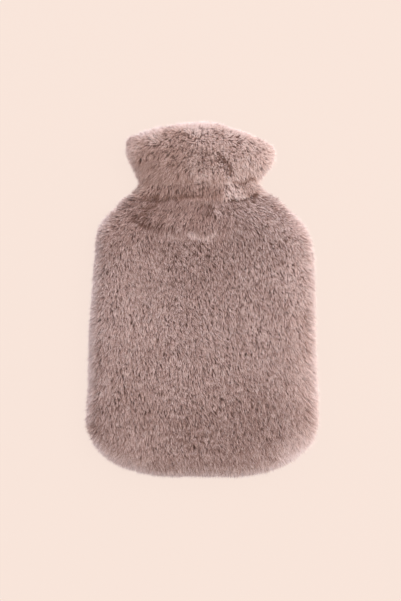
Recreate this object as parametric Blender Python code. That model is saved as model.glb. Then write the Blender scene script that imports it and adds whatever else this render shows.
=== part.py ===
"""Plush hot water bottle cover, without its bottle, lying on its back with its face up.

Units are metres and +Z is up. The origin is on the surface that the cover lies on, under the middle of the
cover. +X is to the right of its face and +Y runs towards the mouth, at the top of the collar.

Three pieces of long-pile cloth are sewn into a hollow pouch: a domed front panel, a shallow back panel, and a
collar that is rolled over itself. Each is a solid wall, as thick as its cloth with the pile lying down.
"along" is the distance from the cover's bottom edge towards the mouth.
"""

from collections import namedtuple
import math

import bmesh
import bpy
import numpy as np

# ---------------------------------------------------------------- driving sizes

LENGTH = 0.350              # bottom edge to the top of the collar's roll
HALF_WIDTH = 0.115          # middle line to the widest place of either side
WALL = 0.009                # cloth and its pile, in the two panels
SEAM_GAP = 0.0003           # between two pieces that are sewn together

NECK_END = 0.286            # along: where the panels end and the collar is sewn on
CORNER_ALONG = 0.024        # along: where the sides turn into the bottom edge
FRONT_EDGE_ROLL = 0.034     # how far in from the edge the front is still curving up
BACK_EDGE_ROLL = 0.027      # the same for the back, curving down
NECK_ROLL = 0.050           # the same at the neck, whose section is one oval
ROLL_FULLNESS = 2.2         # 2 is a round edge, more is a squarer one

# The edge of the pouch as its face shows it: reach to the left and to the right of the middle line.
Edge = namedtuple("Edge", "along left right")
POUCH_EDGE = [
    Edge(0.286, 0.0570, 0.0570),
    Edge(0.280, 0.0585, 0.0590),
    Edge(0.276, 0.0645, 0.0655),
    Edge(0.272, 0.0775, 0.0790),
    Edge(0.266, 0.0870, 0.0880),
    Edge(0.256, 0.0965, 0.0965),
    Edge(0.243, 0.1030, 0.1050),
    Edge(0.220, 0.1055, 0.1110),
    Edge(0.180, 0.1080, 0.1125),
    Edge(0.130, 0.1110, 0.1110),
    Edge(0.085, 0.1115, 0.1145),
    Edge(0.060, 0.1150, 0.1150),
    Edge(0.040, 0.1095, 0.1120),
    Edge(0.022, 0.0950, 0.0960),
    Edge(0.008, 0.0690, 0.0690),
    Edge(0.000, 0.0280, 0.0260),
]

# Heights along the middle line: the face and the underside.
Level = namedtuple("Level", "along face underside")
POUCH_LEVELS = [
    Level(0.286, 0.0440, 0.0100),
    Level(0.275, 0.0450, 0.0095),
    Level(0.264, 0.0505, 0.0050),
    Level(0.250, 0.0552, 0.0000),
    Level(0.225, 0.0565, 0.0000),
    Level(0.170, 0.0580, 0.0000),
    Level(0.105, 0.0572, 0.0000),
    Level(0.050, 0.0555, 0.0000),
    Level(0.000, 0.0550, 0.0000),
]
SEAM_LEVEL = 0.0255         # height of the seam that runs round the sides and the bottom
CROWN_FALL = 0.003          # how much lower the face is near its sides than on the middle line

# The fold that sags under the collar: a crease like a wide smile, with a soft bulge over it.
CREASE_ALONG = 0.2335       # along: the crease on the middle line
CREASE_CURVE = 3.4          # how fast the crease climbs to either side, per metre
CREASE_DEPTH = 0.0042
CREASE_SPREAD = 0.0050
BULGE_ABOVE = 0.0120        # from the crease up to the top of the bulge
BULGE_HEIGHT = 0.0030
BULGE_SPREAD = 0.0080
CREASE_LEFT_END = -0.070
CREASE_RIGHT_END = 0.034
CREASE_FADE = 0.018

# Broad dips and swells of the slack face.
Swell = namedtuple("Swell", "x along spread_x spread_along height")
FACE_SWELLS = [
    Swell(-0.048, 0.188, 0.034, 0.050, -0.0032),
    Swell(0.035, 0.120, 0.045, 0.040, 0.0012),
    Swell(-0.030, 0.075, 0.040, 0.030, 0.0010),
    Swell(0.070, 0.215, 0.030, 0.034, 0.0012),
]

# The collar, from its hem up to the line where its cloth starts to roll over. "share" is how far up from
# the waist to that line a row lies. The hem and the flare hang below the waist, so they have places instead.
Collar = namedtuple("Collar", "name share along left right face underside layer")
COLLAR_ROWS = [
    Collar("hem", None, 0.2780, 0.0745, 0.0760, 0.0540, 0.0005, 0.0066),
    Collar("flare", None, 0.2840, 0.0690, 0.0695, 0.0545, 0.0000, 0.0078),
    Collar("waist", 0.00, None, 0.0620, 0.0605, 0.0505, 0.0025, 0.0072),
    Collar("cheek", 0.28, None, 0.0663, 0.0645, 0.0570, 0.0000, 0.0084),
    Collar("swell", 0.55, None, 0.0715, 0.0720, 0.0620, -0.0020, 0.0088),
    Collar("widest", 0.82, None, 0.0748, 0.0748, 0.0640, -0.0030, 0.0088),
    Collar("turn", 1.00, None, 0.0744, 0.0732, 0.0640, -0.0030, 0.0088),
]
WAIST_ALONG = 0.2915
COLLAR_SEAM = NECK_END + SEAM_GAP
SLIT = 0.0012               # between the collar's two layers
SLIT_TOP_SHARE = 0.95       # how far up towards the roll the two layers stay apart
ROLL_PEAK_X = 0.010         # the roll's highest point is a little right of the middle
ROLL_DROP_LEFT = 1.88       # how fast the top of the roll falls to each side, per metre
ROLL_DROP_RIGHT = 4.34
ROLL_STEPS = 6              # faces over the top of the roll
OVAL_FULLNESS = 2.4         # 2 is an ellipse, more is a squarer oval
HEM_DROOP = 0.0050          # how much lower the hem hangs at the face and the back than at the sides
HEM_WAVE = 0.0010           # how unevenly it hangs
HEM_WAVES_ROUND = 5
HEM_WAVE_START = 0.6        # radians

# Fineness of the solids.
FRONT_COLUMNS = 26
BACK_COLUMNS = 20
EDGE_SAMPLES = 480
COLLAR_COLUMNS = 44
Stretch = namedtuple("Stretch", "end_share rows")
FRONT_STRETCHES = [Stretch(0.27, 13), Stretch(0.84, 9), Stretch(1.00, 7)]
BACK_STRETCHES = [Stretch(0.20, 7), Stretch(0.84, 7), Stretch(1.00, 6)]

PLUSH_ROUGHNESS = 0.95
PLUSH_COLOURS = {
    "front_panel": (0.400, 0.262, 0.238),
    "back_panel": (0.370, 0.242, 0.220),
    "collar": (0.420, 0.272, 0.242),
}


# ---------------------------------------------------------------- helpers

def smooth_through(places, values, at):
    """Value at a place of the smooth curve through a table's rows, which never overshoots a row."""
    places = np.asarray(places, float)
    values = np.asarray(values, float)
    if places[0] > places[-1]:
        places = places[::-1]
        values = values[::-1]
    steps = np.diff(places)
    slopes = np.diff(values) / steps
    tangents = np.zeros(len(places))
    same_way = slopes[:-1] * slopes[1:] > 0
    before = 2 * steps[1:] + steps[:-1]
    after = steps[1:] + 2 * steps[:-1]
    safe_first = np.where(same_way, slopes[:-1], 1.0)
    safe_second = np.where(same_way, slopes[1:], 1.0)
    mean = (before + after) / (before / safe_first + after / safe_second)
    tangents[1:-1] = np.where(same_way, mean, 0.0)
    tangents[0] = slopes[0]
    tangents[-1] = slopes[-1]
    at = np.clip(at, places[0], places[-1])
    row = np.clip(np.searchsorted(places, at, side="right") - 1, 0, len(steps) - 1)
    t = (at - places[row]) / steps[row]
    low = (1 + 2 * t) * (1 - t) ** 2 * values[row] + t * t * (3 - 2 * t) * values[row + 1]
    bend = t * (1 - t) ** 2 * tangents[row] - t * t * (1 - t) * tangents[row + 1]
    return low + bend * steps[row]


def level(column, along):
    """Height of one column of the pouch's levels at a place along the cover."""
    return smooth_through(
        [row.along for row in POUCH_LEVELS],
        [getattr(row, column) for row in POUCH_LEVELS],
        along,
    )


def soft_step(value, start, end):
    """0 before start, 1 after end, and a smooth change between them."""
    t = np.clip((value - start) / (end - start), 0.0, 1.0)
    return t * t * (3 - 2 * t)


def rolled(distance, radius):
    """How far a rounded edge has risen, from 0 to 1, at a distance in from the edge."""
    left_to_go = 1.0 - np.clip(distance / radius, 0.0, 1.0)
    return (1.0 - left_to_go ** ROLL_FULLNESS) ** (1.0 / ROLL_FULLNESS)


def roll_radius(along, body_radius):
    """The edge's roll grows from the body's to the neck's over the shoulders."""
    neck_share = soft_step(along, 0.235, 0.275)
    return body_radius + (NECK_ROLL - body_radius) * neck_share


def pouch_edge():
    """The pouch's edge as evenly spaced points: from the neck down the left, and up the right to the neck."""
    left_side = [(-row.left, row.along) for row in POUCH_EDGE]
    right_side = [(row.right, row.along) for row in reversed(POUCH_EDGE)]
    knots = np.array(left_side + right_side)
    travel = np.concatenate([[0.0], np.cumsum(np.hypot(*np.diff(knots, axis=0).T))])
    dense = np.linspace(0.0, travel[-1], 4 * EDGE_SAMPLES)
    curve = np.stack([smooth_through(travel, knots[:, axis], dense) for axis in (0, 1)], axis=1)
    run = np.concatenate([[0.0], np.cumsum(np.hypot(*np.diff(curve, axis=0).T))])
    even = np.linspace(0.0, run[-1], EDGE_SAMPLES)
    return np.stack([np.interp(even, run, curve[:, axis]) for axis in (0, 1)], axis=1)


def moved_in(edge, distance):
    """The same edge, moved into the pouch by a distance, square to itself."""
    tangents = np.gradient(edge, axis=0)
    tangents /= np.linalg.norm(tangents, axis=1)[:, None]
    inward = np.stack([-tangents[:, 1], tangents[:, 0]], axis=1)
    inner = edge + distance * inward
    inner[0] = (edge[0, 0] + distance, edge[0, 1])
    inner[-1] = (edge[-1, 0] - distance, edge[-1, 1])
    return inner


def distance_to(edge, points):
    """Distance from each point to the nearest stretch of the edge."""
    start = edge[:-1]
    step = edge[1:] - start
    length_squared = (step ** 2).sum(axis=1)
    offset = points[:, None, :] - start[None]
    share = np.clip((offset * step).sum(axis=2) / length_squared, 0.0, 1.0)
    gap = offset - share[..., None] * step
    return np.sqrt((gap ** 2).sum(axis=2)).min(axis=1)


def row_places(stretches):
    """Places of the rows from the neck, 0, to the bottom edge, 1, closing up towards the bottom edge."""
    places = [0.0]
    for number, stretch in enumerate(stretches):
        start = places[-1]
        is_last = number == len(stretches) - 1
        for step in range(1, stretch.rows + 1):
            share = step / stretch.rows
            if is_last:
                share = math.sin(share * math.pi / 2)
            places.append(start + (stretch.end_share - start) * share)
    return np.array(places)


def panel_grid(edge, columns, stretches):
    """Points that fill the edge: rows from the neck to the bottom, columns from left to right."""
    across = (1 - np.cos(np.linspace(0.0, math.pi, columns + 1))) / 2
    down = row_places(stretches)
    half = len(edge) // 2
    left_corner = int(np.argmin(np.abs(edge[:half, 1] - CORNER_ALONG)))
    right_corner = half + int(np.argmin(np.abs(edge[half:, 1] - CORNER_ALONG)))

    def stretch_of(first, last, shares):
        places = first + (last - first) * shares
        numbers = np.arange(len(edge))
        return np.stack([np.interp(places, numbers, edge[:, axis]) for axis in (0, 1)], axis=1)

    left = stretch_of(0, left_corner, down)[:, None, :]
    right = stretch_of(len(edge) - 1, right_corner, down)[:, None, :]
    bottom = stretch_of(left_corner, right_corner, across)[None, :, :]
    u = across[None, :, None]
    v = down[:, None, None]
    neck = (1 - u) * edge[0] + u * edge[-1]
    corners = (1 - v) * neck + v * ((1 - u) * edge[left_corner] + u * edge[right_corner])
    return (1 - v) * neck + v * bottom + (1 - u) * left + u * right - corners


def face_folds(x, along):
    """Height that the crease, its bulge and the slack swells add to the face."""
    crease = CREASE_ALONG + CREASE_CURVE * x * x
    shown = soft_step(x, CREASE_LEFT_END - CREASE_FADE, CREASE_LEFT_END + CREASE_FADE)
    shown = shown * (1 - soft_step(x, CREASE_RIGHT_END - CREASE_FADE, CREASE_RIGHT_END + CREASE_FADE))
    trough = -CREASE_DEPTH * np.exp(-((along - crease) / CREASE_SPREAD) ** 2)
    bulge = BULGE_HEIGHT * np.exp(-((along - crease - BULGE_ABOVE) / BULGE_SPREAD) ** 2)
    height = (trough + bulge) * shown
    for swell in FACE_SWELLS:
        away = ((x - swell.x) / swell.spread_x) ** 2 + ((along - swell.along) / swell.spread_along) ** 2
        height = height + swell.height * np.exp(-away)
    return height


def front_height(x, along, distance, depth):
    """Height of the front panel's skin: depth 0 is the tips of its pile, and WALL its inner side."""
    seam = SEAM_LEVEL + SEAM_GAP / 2
    crown = level("face", along) - CROWN_FALL * (x / HALF_WIDTH) ** 2 - depth
    radius = roll_radius(along, FRONT_EDGE_ROLL) - depth
    risen = rolled(distance, radius)
    return seam + (crown - seam + face_folds(x, along) * risen) * risen


def back_height(x, along, distance, depth):
    """Height of the back panel's skin: depth 0 is its underside, and WALL its inner side."""
    seam = SEAM_LEVEL - SEAM_GAP / 2
    floor = level("underside", along) + depth
    radius = roll_radius(along, BACK_EDGE_ROLL) - depth
    return seam - (seam - floor) * rolled(distance, radius)


def world(x, along, z):
    """A point in the cover's own frame, whose origin is under its middle."""
    return (float(x), float(along) - LENGTH / 2, float(z))


def add_object(name, mesh_data, collection):
    """Finish a bmesh as a named, closed, outward-facing object with its own plush material."""
    bmesh.ops.recalc_face_normals(mesh_data, faces=mesh_data.faces)
    mesh = bpy.data.meshes.new(name)
    mesh_data.to_mesh(mesh)
    mesh_data.free()
    mesh.shade_smooth()
    mesh.materials.append(plush_material(name))
    piece = bpy.data.objects.new(name, mesh)
    collection.objects.link(piece)
    return piece


def plush_material(name):
    """Dusty mauve plush."""
    material = bpy.data.materials.new(name + "_plush")
    material.use_nodes = True
    shader = material.node_tree.nodes["Principled BSDF"]
    shader.inputs["Base Color"].default_value = (*PLUSH_COLOURS[name], 1.0)
    shader.inputs["Roughness"].default_value = PLUSH_ROUGHNESS
    shader.inputs["Metallic"].default_value = 0.0
    return material


# ---------------------------------------------------------------- the two panels

def make_panel(name, height_of, columns, stretches, collection):
    """One panel: its outer and inner skins, joined round the seam and across the neck."""
    panel = bmesh.new()
    outer_edge = pouch_edge()
    skins = []
    for depth in (0.0, WALL):
        edge = moved_in(outer_edge, depth) if depth else outer_edge
        grid = panel_grid(edge, columns, stretches)
        flat = grid.reshape(-1, 2)
        heights = height_of(flat[:, 0], flat[:, 1], distance_to(edge, flat), depth).reshape(grid.shape[:2])
        skin = []
        for row in range(grid.shape[0]):
            points = zip(grid[row, :, 0], grid[row, :, 1], heights[row])
            skin.append([panel.verts.new(world(*point)) for point in points])
        skins.append(skin)
    outer, inner = skins
    last_row = len(outer) - 1
    for row in range(last_row):
        for column in range(columns):
            for skin in skins:
                panel.faces.new((
                    skin[row][column],
                    skin[row + 1][column],
                    skin[row + 1][column + 1],
                    skin[row][column + 1],
                ))
        for side in (0, columns):
            panel.faces.new((outer[row][side], outer[row + 1][side], inner[row + 1][side], inner[row][side]))
    for column in range(columns):
        for row in (0, last_row):
            panel.faces.new((
                outer[row][column],
                outer[row][column + 1],
                inner[row][column + 1],
                inner[row][column],
            ))
    return add_object(name, panel, collection)


# ---------------------------------------------------------------- the collar

# A station of the collar's wall. layers and slits say how far in it lies from the outer skin. It is placed by
# its share of the way up from the waist, or by its place along the cover; turned is its angle over the roll.
Station = namedtuple("Station", "layers slits share along turned", defaults=(0, 0, None, None, 0.0))


def collar_value(column, station):
    """One column of the collar's rows, at a station."""
    if station.share is None:
        rows = [row for row in COLLAR_ROWS if row.share is None] + [collar_row("waist")]
        places = [WAIST_ALONG if row.along is None else row.along for row in rows]
        where = station.along
    else:
        rows = [row for row in COLLAR_ROWS if row.share is not None]
        places = [row.share for row in rows]
        where = station.share
    return smooth_through(places, [getattr(row, column) for row in rows], where)


def collar_row(name):
    """The row of the collar's table with this name."""
    return next(row for row in COLLAR_ROWS if row.name == name)


def roll_half():
    """Half of the thickness of the collar's two layers where they roll over."""
    return collar_row("turn").layer + SLIT / 2


def turn_line(angle):
    """Where the cloth starts to roll over: the roll's top falls away to both sides of its peak."""
    turn = collar_row("turn")
    middle, _ = oval_point(angle, turn.left - roll_half(), turn.right - roll_half(), 1.0, 0.0)
    aside = middle - ROLL_PEAK_X
    drop = (ROLL_DROP_RIGHT if aside > 0 else ROLL_DROP_LEFT) * aside * aside
    return LENGTH - drop - roll_half()


def hem_hang(angle, along):
    """How much lower the skirt below the waist hangs: most at the hem, more at the face than at the sides."""
    below = (WAIST_ALONG - along) / (WAIST_ALONG - collar_row("hem").along)
    droop = HEM_DROOP * abs(math.sin(angle))
    wave = HEM_WAVE * math.sin(HEM_WAVES_ROUND * angle + HEM_WAVE_START)
    return (droop + wave) * below


def oval_point(angle, left, right, top, bottom):
    """A point of a squarish oval that reaches left, right, top and bottom."""
    cosine = math.cos(angle)
    sine = math.sin(angle)
    reach = right if cosine > 0 else left
    x = math.copysign(reach * abs(cosine) ** (2 / OVAL_FULLNESS), cosine)
    half_depth = (top - bottom) / 2
    z = (top + bottom) / 2 + math.copysign(half_depth * abs(sine) ** (2 / OVAL_FULLNESS), sine)
    return x, z


def collar_point(angle, station):
    """The point of a station at an angle round the neck. What would sink into the surface lies flat on it."""
    columns = ("left", "right", "face", "underside", "layer")
    left, right, face, underside, layer = (collar_value(column, station) for column in columns)
    inset = station.layers * layer + station.slits * SLIT + roll_half() * (1 - math.cos(station.turned))
    x, z = oval_point(angle, left - inset, right - inset, face - inset, underside + inset)
    if station.share is not None:
        rise = roll_half() * math.sin(station.turned)
        along = WAIST_ALONG + (turn_line(angle) - WAIST_ALONG) * station.share + rise
    elif station.slits == 0:
        along = station.along - hem_hang(angle, station.along)
    else:
        along = station.along
    return world(x, along, max(z, 0.0))


def collar_section():
    """The closed outline of the wall: up from the hem, over the roll, down the mouth, and up the slit."""
    below = [row.along for row in COLLAR_ROWS if row.share is None]
    shares = [row.share for row in COLLAR_ROWS if row.share is not None]
    slit_shares = shares[:-1] + [SLIT_TOP_SHARE]
    section = [Station(along=along) for along in below]
    section += [Station(share=share) for share in shares]
    section += [Station(share=1.0, turned=math.pi * step / ROLL_STEPS) for step in range(1, ROLL_STEPS)]
    section += [Station(2, 1, share=share) for share in reversed(shares)]
    section += [Station(2, 1, along=COLLAR_SEAM), Station(1, 1, along=COLLAR_SEAM)]
    section += [Station(1, 1, share=share) for share in slit_shares]
    section += [Station(1, 0, share=share) for share in reversed(slit_shares)]
    section += [Station(1, 0, along=along) for along in reversed(below)]
    return section


def make_collar(collection):
    """The collar: one wall, up inside from the neck seam, over the roll, and down outside to the hem."""
    collar = bmesh.new()
    angles = [2 * math.pi * number / COLLAR_COLUMNS for number in range(COLLAR_COLUMNS)]
    rings = []
    for station in collar_section():
        rings.append([collar.verts.new(collar_point(angle, station)) for angle in angles])
    for number, ring in enumerate(rings):
        following = rings[(number + 1) % len(rings)]
        for column in range(COLLAR_COLUMNS):
            beside = (column + 1) % COLLAR_COLUMNS
            collar.faces.new((ring[column], ring[beside], following[beside], following[column]))
    return add_object("collar", collar, collection)


# ---------------------------------------------------------------- build

def main():
    for old in list(bpy.data.objects):
        bpy.data.objects.remove(old, do_unlink=True)
    cover = bpy.data.collections.new("hot_water_bottle_cover")
    bpy.context.scene.collection.children.link(cover)
    make_panel("front_panel", front_height, FRONT_COLUMNS, FRONT_STRETCHES, cover)
    make_panel("back_panel", back_height, BACK_COLUMNS, BACK_STRETCHES, cover)
    make_collar(cover)


main()
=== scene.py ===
# %% [markdown]
# # A plush hot water bottle cover
#
# The cover is a hollow pouch of long-pile cloth, with a collar that is rolled over itself. It lies on its
# back, empty, in the shape of the bottle that it is made for. What the eye sees is almost only pile: hundreds
# of thousands of fine strands, in small locks, that hide the knitted cloth they stand on.
#
# So the lesson builds it as the real one is built. First comes the backing cloth, a thin sheet for each of
# the three pieces that a maker would cut. Then pile is grown out of each sheet, brushed the way the hand
# leaves it, and coloured from its dark roots to its pale tips.

# %% Load the frame
import math
from collections import namedtuple

import bpy
import numpy as np
from mathutils.kdtree import KDTree
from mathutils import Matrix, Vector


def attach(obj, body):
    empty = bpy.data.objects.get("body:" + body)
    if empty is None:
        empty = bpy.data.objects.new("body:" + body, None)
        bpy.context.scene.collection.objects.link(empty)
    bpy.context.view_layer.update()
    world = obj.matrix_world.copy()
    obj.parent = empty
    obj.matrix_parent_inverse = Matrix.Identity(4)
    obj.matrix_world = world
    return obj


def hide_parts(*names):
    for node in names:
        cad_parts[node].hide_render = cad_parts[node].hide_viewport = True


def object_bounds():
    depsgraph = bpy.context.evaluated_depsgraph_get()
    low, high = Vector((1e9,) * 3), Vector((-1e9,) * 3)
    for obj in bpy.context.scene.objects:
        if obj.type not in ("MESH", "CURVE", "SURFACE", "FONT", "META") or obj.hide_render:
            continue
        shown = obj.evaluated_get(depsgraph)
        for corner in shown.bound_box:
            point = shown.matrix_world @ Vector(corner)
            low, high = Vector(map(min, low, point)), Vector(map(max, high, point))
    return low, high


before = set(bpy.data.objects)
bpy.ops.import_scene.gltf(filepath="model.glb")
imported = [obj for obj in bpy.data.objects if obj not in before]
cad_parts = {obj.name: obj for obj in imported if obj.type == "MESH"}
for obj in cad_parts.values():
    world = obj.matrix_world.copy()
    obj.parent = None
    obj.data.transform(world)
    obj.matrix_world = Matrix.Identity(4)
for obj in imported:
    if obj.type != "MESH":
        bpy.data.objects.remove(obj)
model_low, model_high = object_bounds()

print("the model is", [round(size, 4) for size in model_high - model_low], "metres")

# %% [markdown]
# ## Camera, floor and light
#
# The cover is seen face on, so the camera looks straight down on it through a long lens, which keeps the
# sides from leaning outwards. The picture is 601 pixels high, and one pixel is a little under a millimetre.
#
# The floor is plain and pale. The light is soft and comes from everywhere. A broad lamp hangs over the cover,
# a little to the right, and low lamps stand round it: the warm one on the right and the one beyond the collar
# are the strong ones, so the right edge and the top of the collar are the palest parts, as on the real one.
# Painted light in the pile's tones adds to that, along the outline and where the collar turns away.

# %% Camera
LONG_LENS = 0.085            # focal length
SENSOR = 0.036               # the long side of the picture on the sensor
PICTURE_HEIGHT = 601
METRES_PER_PIXEL = 0.000985
FACE_LEVEL = 0.030           # height at which the scale holds: the widest part of the cover
VIEW_CENTRE = (0.0, -0.0005)

camera_data = bpy.data.cameras.new("camera")
camera_data.sensor_width = SENSOR * 1000
camera_data.lens = LONG_LENS * 1000
camera = bpy.data.objects.new("camera", camera_data)
view_height = PICTURE_HEIGHT * METRES_PER_PIXEL
camera_distance = view_height * LONG_LENS / SENSOR
camera.location = (*VIEW_CENTRE, FACE_LEVEL + camera_distance)
bpy.context.scene.collection.objects.link(camera)
bpy.context.scene.camera = camera
print("the camera hangs", round(camera.location.z, 3), "metres above the floor")

# %% Floor and lamps
FLOOR_COLOUR = (0.945, 0.787, 0.706)
FLOOR_GLOW = 0.955           # share of the floor's light that no shadow can reach
FLOOR_LIT = 0.030            # the rest, as an albedo under these lamps
BOUNCE_COLOUR = (0.83, 0.79, 0.82)       # light that the floor throws up under the pile
FLOOR_SIZE = 12.0
MATT = 0.9                   # roughness of the floor and of knitted cloth
MIX_FIRST = 6                # the two colour sockets of a Mix node, by number, because their names repeat
MIX_SECOND = 7
MIX_RESULT = 2
SKY_COLOUR = (1.0, 0.975, 0.96)
SKY_STRENGTH = 0.56
Lamp = namedtuple("Lamp", "name place size watts colour")
LAMPS = [
    Lamp("broad_top", (0.45, 0.20, 1.75), 1.1, 29.0, (1.0, 0.955, 0.90)),
    Lamp("low_right", (1.50, 0.30, 0.40), 0.7, 10.5, (1.0, 0.86, 0.70)),
    Lamp("low_top", (-0.10, 1.60, 0.50), 0.7, 11.0, (1.0, 0.95, 0.98)),
    Lamp("low_left", (-1.50, 0.25, 0.45), 0.7, 3.0, (0.97, 0.95, 1.0)),
]


def point_at_cover(lamp):
    """Turn a lamp to face the middle of the cover."""
    lamp.rotation_euler = (-lamp.location).to_track_quat("-Z", "Y").to_euler()


def floor_material():
    """A plain pale floor that glows, so that shadows on it stay faint. It lights the pile a little cooler."""
    material = bpy.data.materials.new("pale_floor")
    material.use_nodes = True
    shader = material.node_tree.nodes["Principled BSDF"]
    lit = [channel * FLOOR_LIT for channel in FLOOR_COLOUR]
    shader.inputs["Base Color"].default_value = (*lit, 1.0)
    shader.inputs["Roughness"].default_value = MATT
    shader.inputs["Specular IOR Level"].default_value = 0.0
    rays = material.node_tree.nodes.new("ShaderNodeLightPath")
    glow = material.node_tree.nodes.new("ShaderNodeMix")
    glow.data_type = "RGBA"
    glow.inputs[MIX_FIRST].default_value = (*BOUNCE_COLOUR, 1.0)
    glow.inputs[MIX_SECOND].default_value = (*FLOOR_COLOUR, 1.0)
    material.node_tree.links.new(rays.outputs["Is Camera Ray"], glow.inputs[0])
    material.node_tree.links.new(glow.outputs[MIX_RESULT], shader.inputs["Emission Color"])
    shader.inputs["Emission Strength"].default_value = FLOOR_GLOW
    return material


floor_mesh = bpy.data.meshes.new("floor")
half_floor = FLOOR_SIZE / 2
floor_corners = [(-half_floor, -half_floor, 0), (half_floor, -half_floor, 0)]
floor_corners += [(half_floor, half_floor, 0), (-half_floor, half_floor, 0)]
floor_mesh.from_pydata(floor_corners, [], [(0, 1, 2, 3)])
floor_mesh.materials.append(floor_material())
floor = bpy.data.objects.new("floor", floor_mesh)
bpy.context.scene.collection.objects.link(floor)

for row in LAMPS:
    lamp_data = bpy.data.lights.new(row.name, "AREA")
    lamp_data.size = row.size
    lamp_data.energy = row.watts
    lamp_data.color = row.colour
    lamp = bpy.data.objects.new(row.name, lamp_data)
    lamp.location = row.place
    bpy.context.scene.collection.objects.link(lamp)
    point_at_cover(lamp)

sky = bpy.data.worlds.new("soft_sky")
sky.use_nodes = True
sky.node_tree.nodes["Background"].inputs["Color"].default_value = (*SKY_COLOUR, 1.0)
sky.node_tree.nodes["Background"].inputs["Strength"].default_value = SKY_STRENGTH
bpy.context.scene.world = sky
bpy.context.scene.view_settings.view_transform = "Standard"
print(len(LAMPS), "lamps and a soft sky")

# %% [markdown]
# ## Curves from short tables
#
# A maker's pattern is a few measured widths with a smooth line through them. The same is done here: each
# table has a row for each place that was measured, and this curve runs through the rows without wobbling
# between them.

# %% A smooth curve through a table


def smooth_through(places, values, at):
    """Value at a place of the smooth curve through a table's rows, which never overshoots a row."""
    places = np.asarray(places, float)
    values = np.asarray(values, float)
    if places[0] > places[-1]:
        places = places[::-1]
        values = values[::-1]
    steps = np.diff(places)
    slopes = np.diff(values) / steps
    tangents = np.zeros(len(places))
    same_way = slopes[:-1] * slopes[1:] > 0
    before = 2 * steps[1:] + steps[:-1]
    after = steps[1:] + 2 * steps[:-1]
    safe_first = np.where(same_way, slopes[:-1], 1.0)
    safe_second = np.where(same_way, slopes[1:], 1.0)
    mean = (before + after) / (before / safe_first + after / safe_second)
    tangents[1:-1] = np.where(same_way, mean, 0.0)
    tangents[0] = slopes[0]
    tangents[-1] = slopes[-1]
    at = np.clip(at, places[0], places[-1])
    row = np.clip(np.searchsorted(places, at, side="right") - 1, 0, len(steps) - 1)
    t = (at - places[row]) / steps[row]
    low = (1 + 2 * t) * (1 - t) ** 2 * values[row] + t * t * (3 - 2 * t) * values[row + 1]
    bend = t * (1 - t) ** 2 * tangents[row] - t * t * (1 - t) * tangents[row + 1]
    return low + bend * steps[row]


def soft_step(value, start, end):
    """0 before start, 1 after end, and a smooth change between them."""
    t = np.clip((value - start) / (end - start), 0.0, 1.0)
    return t * t * (3 - 2 * t)


print("a quarter of the way up, a soft step has reached", round(float(soft_step(0.25, 0.0, 1.0)), 3))

# %% [markdown]
# ## The edge of the pouch
#
# "along" is the distance from the bottom edge towards the mouth, and left and right are the reach of the
# pile from the middle line. The outline isn't symmetric: a tuft sticks out low on the left, and the right
# side is straighter.

# %% The pouch's edge
LENGTH = model_high.y - model_low.y
HALF_WIDTH = 0.115
CORNER_ALONG = 0.024
EDGE_SAMPLES = 360
Edge = namedtuple("Edge", "along left right")
POUCH_EDGE = [
    Edge(0.286, 0.0610, 0.0590),
    Edge(0.2835, 0.0665, 0.0650),
    Edge(0.2800, 0.0715, 0.0715),
    Edge(0.2765, 0.0775, 0.0765),
    Edge(0.272, 0.0810, 0.0815),
    Edge(0.266, 0.0870, 0.0880),
    Edge(0.256, 0.0965, 0.0980),
    Edge(0.243, 0.1030, 0.1070),
    Edge(0.220, 0.1055, 0.1125),
    Edge(0.180, 0.1080, 0.1138),
    Edge(0.130, 0.1110, 0.1135),
    Edge(0.085, 0.1110, 0.1150),
    Edge(0.060, 0.1130, 0.1152),
    Edge(0.040, 0.1085, 0.1120),
    Edge(0.022, 0.0948, 0.0960),
    Edge(0.008, 0.0700, 0.0710),
    Edge(0.000, 0.0280, 0.0260),
]


def pouch_edge():
    """The pouch's edge as evenly spaced points: from the neck down the left, and up the right to the neck."""
    left_side = [(-row.left, row.along) for row in POUCH_EDGE]
    right_side = [(row.right, row.along) for row in reversed(POUCH_EDGE)]
    knots = np.array(left_side + right_side)
    travel = np.concatenate([[0.0], np.cumsum(np.hypot(*np.diff(knots, axis=0).T))])
    dense = np.linspace(0.0, travel[-1], 4 * EDGE_SAMPLES)
    curve = np.stack([smooth_through(travel, knots[:, axis], dense) for axis in (0, 1)], axis=1)
    run = np.concatenate([[0.0], np.cumsum(np.hypot(*np.diff(curve, axis=0).T))])
    even = np.linspace(0.0, run[-1], EDGE_SAMPLES)
    return np.stack([np.interp(even, run, curve[:, axis]) for axis in (0, 1)], axis=1)


def moved_in(edge, distance):
    """The same edge, moved into the pouch by a distance, square to itself."""
    tangents = np.gradient(edge, axis=0)
    tangents /= np.linalg.norm(tangents, axis=1)[:, None]
    inward = np.stack([-tangents[:, 1], tangents[:, 0]], axis=1)
    inner = edge + distance * inward
    inner[0] = (edge[0, 0] + distance, edge[0, 1])
    inner[-1] = (edge[-1, 0] - distance, edge[-1, 1])
    return inner


def distance_to(edge, points):
    """Distance from each point to the nearest stretch of the edge."""
    start = edge[:-1]
    step = edge[1:] - start
    length_squared = (step ** 2).sum(axis=1)
    nearest = []
    for block in np.array_split(points, max(1, len(points) // 2000)):
        offset = block[:, None, :] - start[None]
        share = np.clip((offset * step).sum(axis=2) / length_squared, 0.0, 1.0)
        gap = offset - share[..., None] * step
        nearest.append(np.sqrt((gap ** 2).sum(axis=2)).min(axis=1))
    return np.concatenate(nearest)


EDGE = pouch_edge()
print("the edge runs", round(float(np.hypot(*np.diff(EDGE, axis=0).T).sum()), 3), "metres round the pouch")

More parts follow.
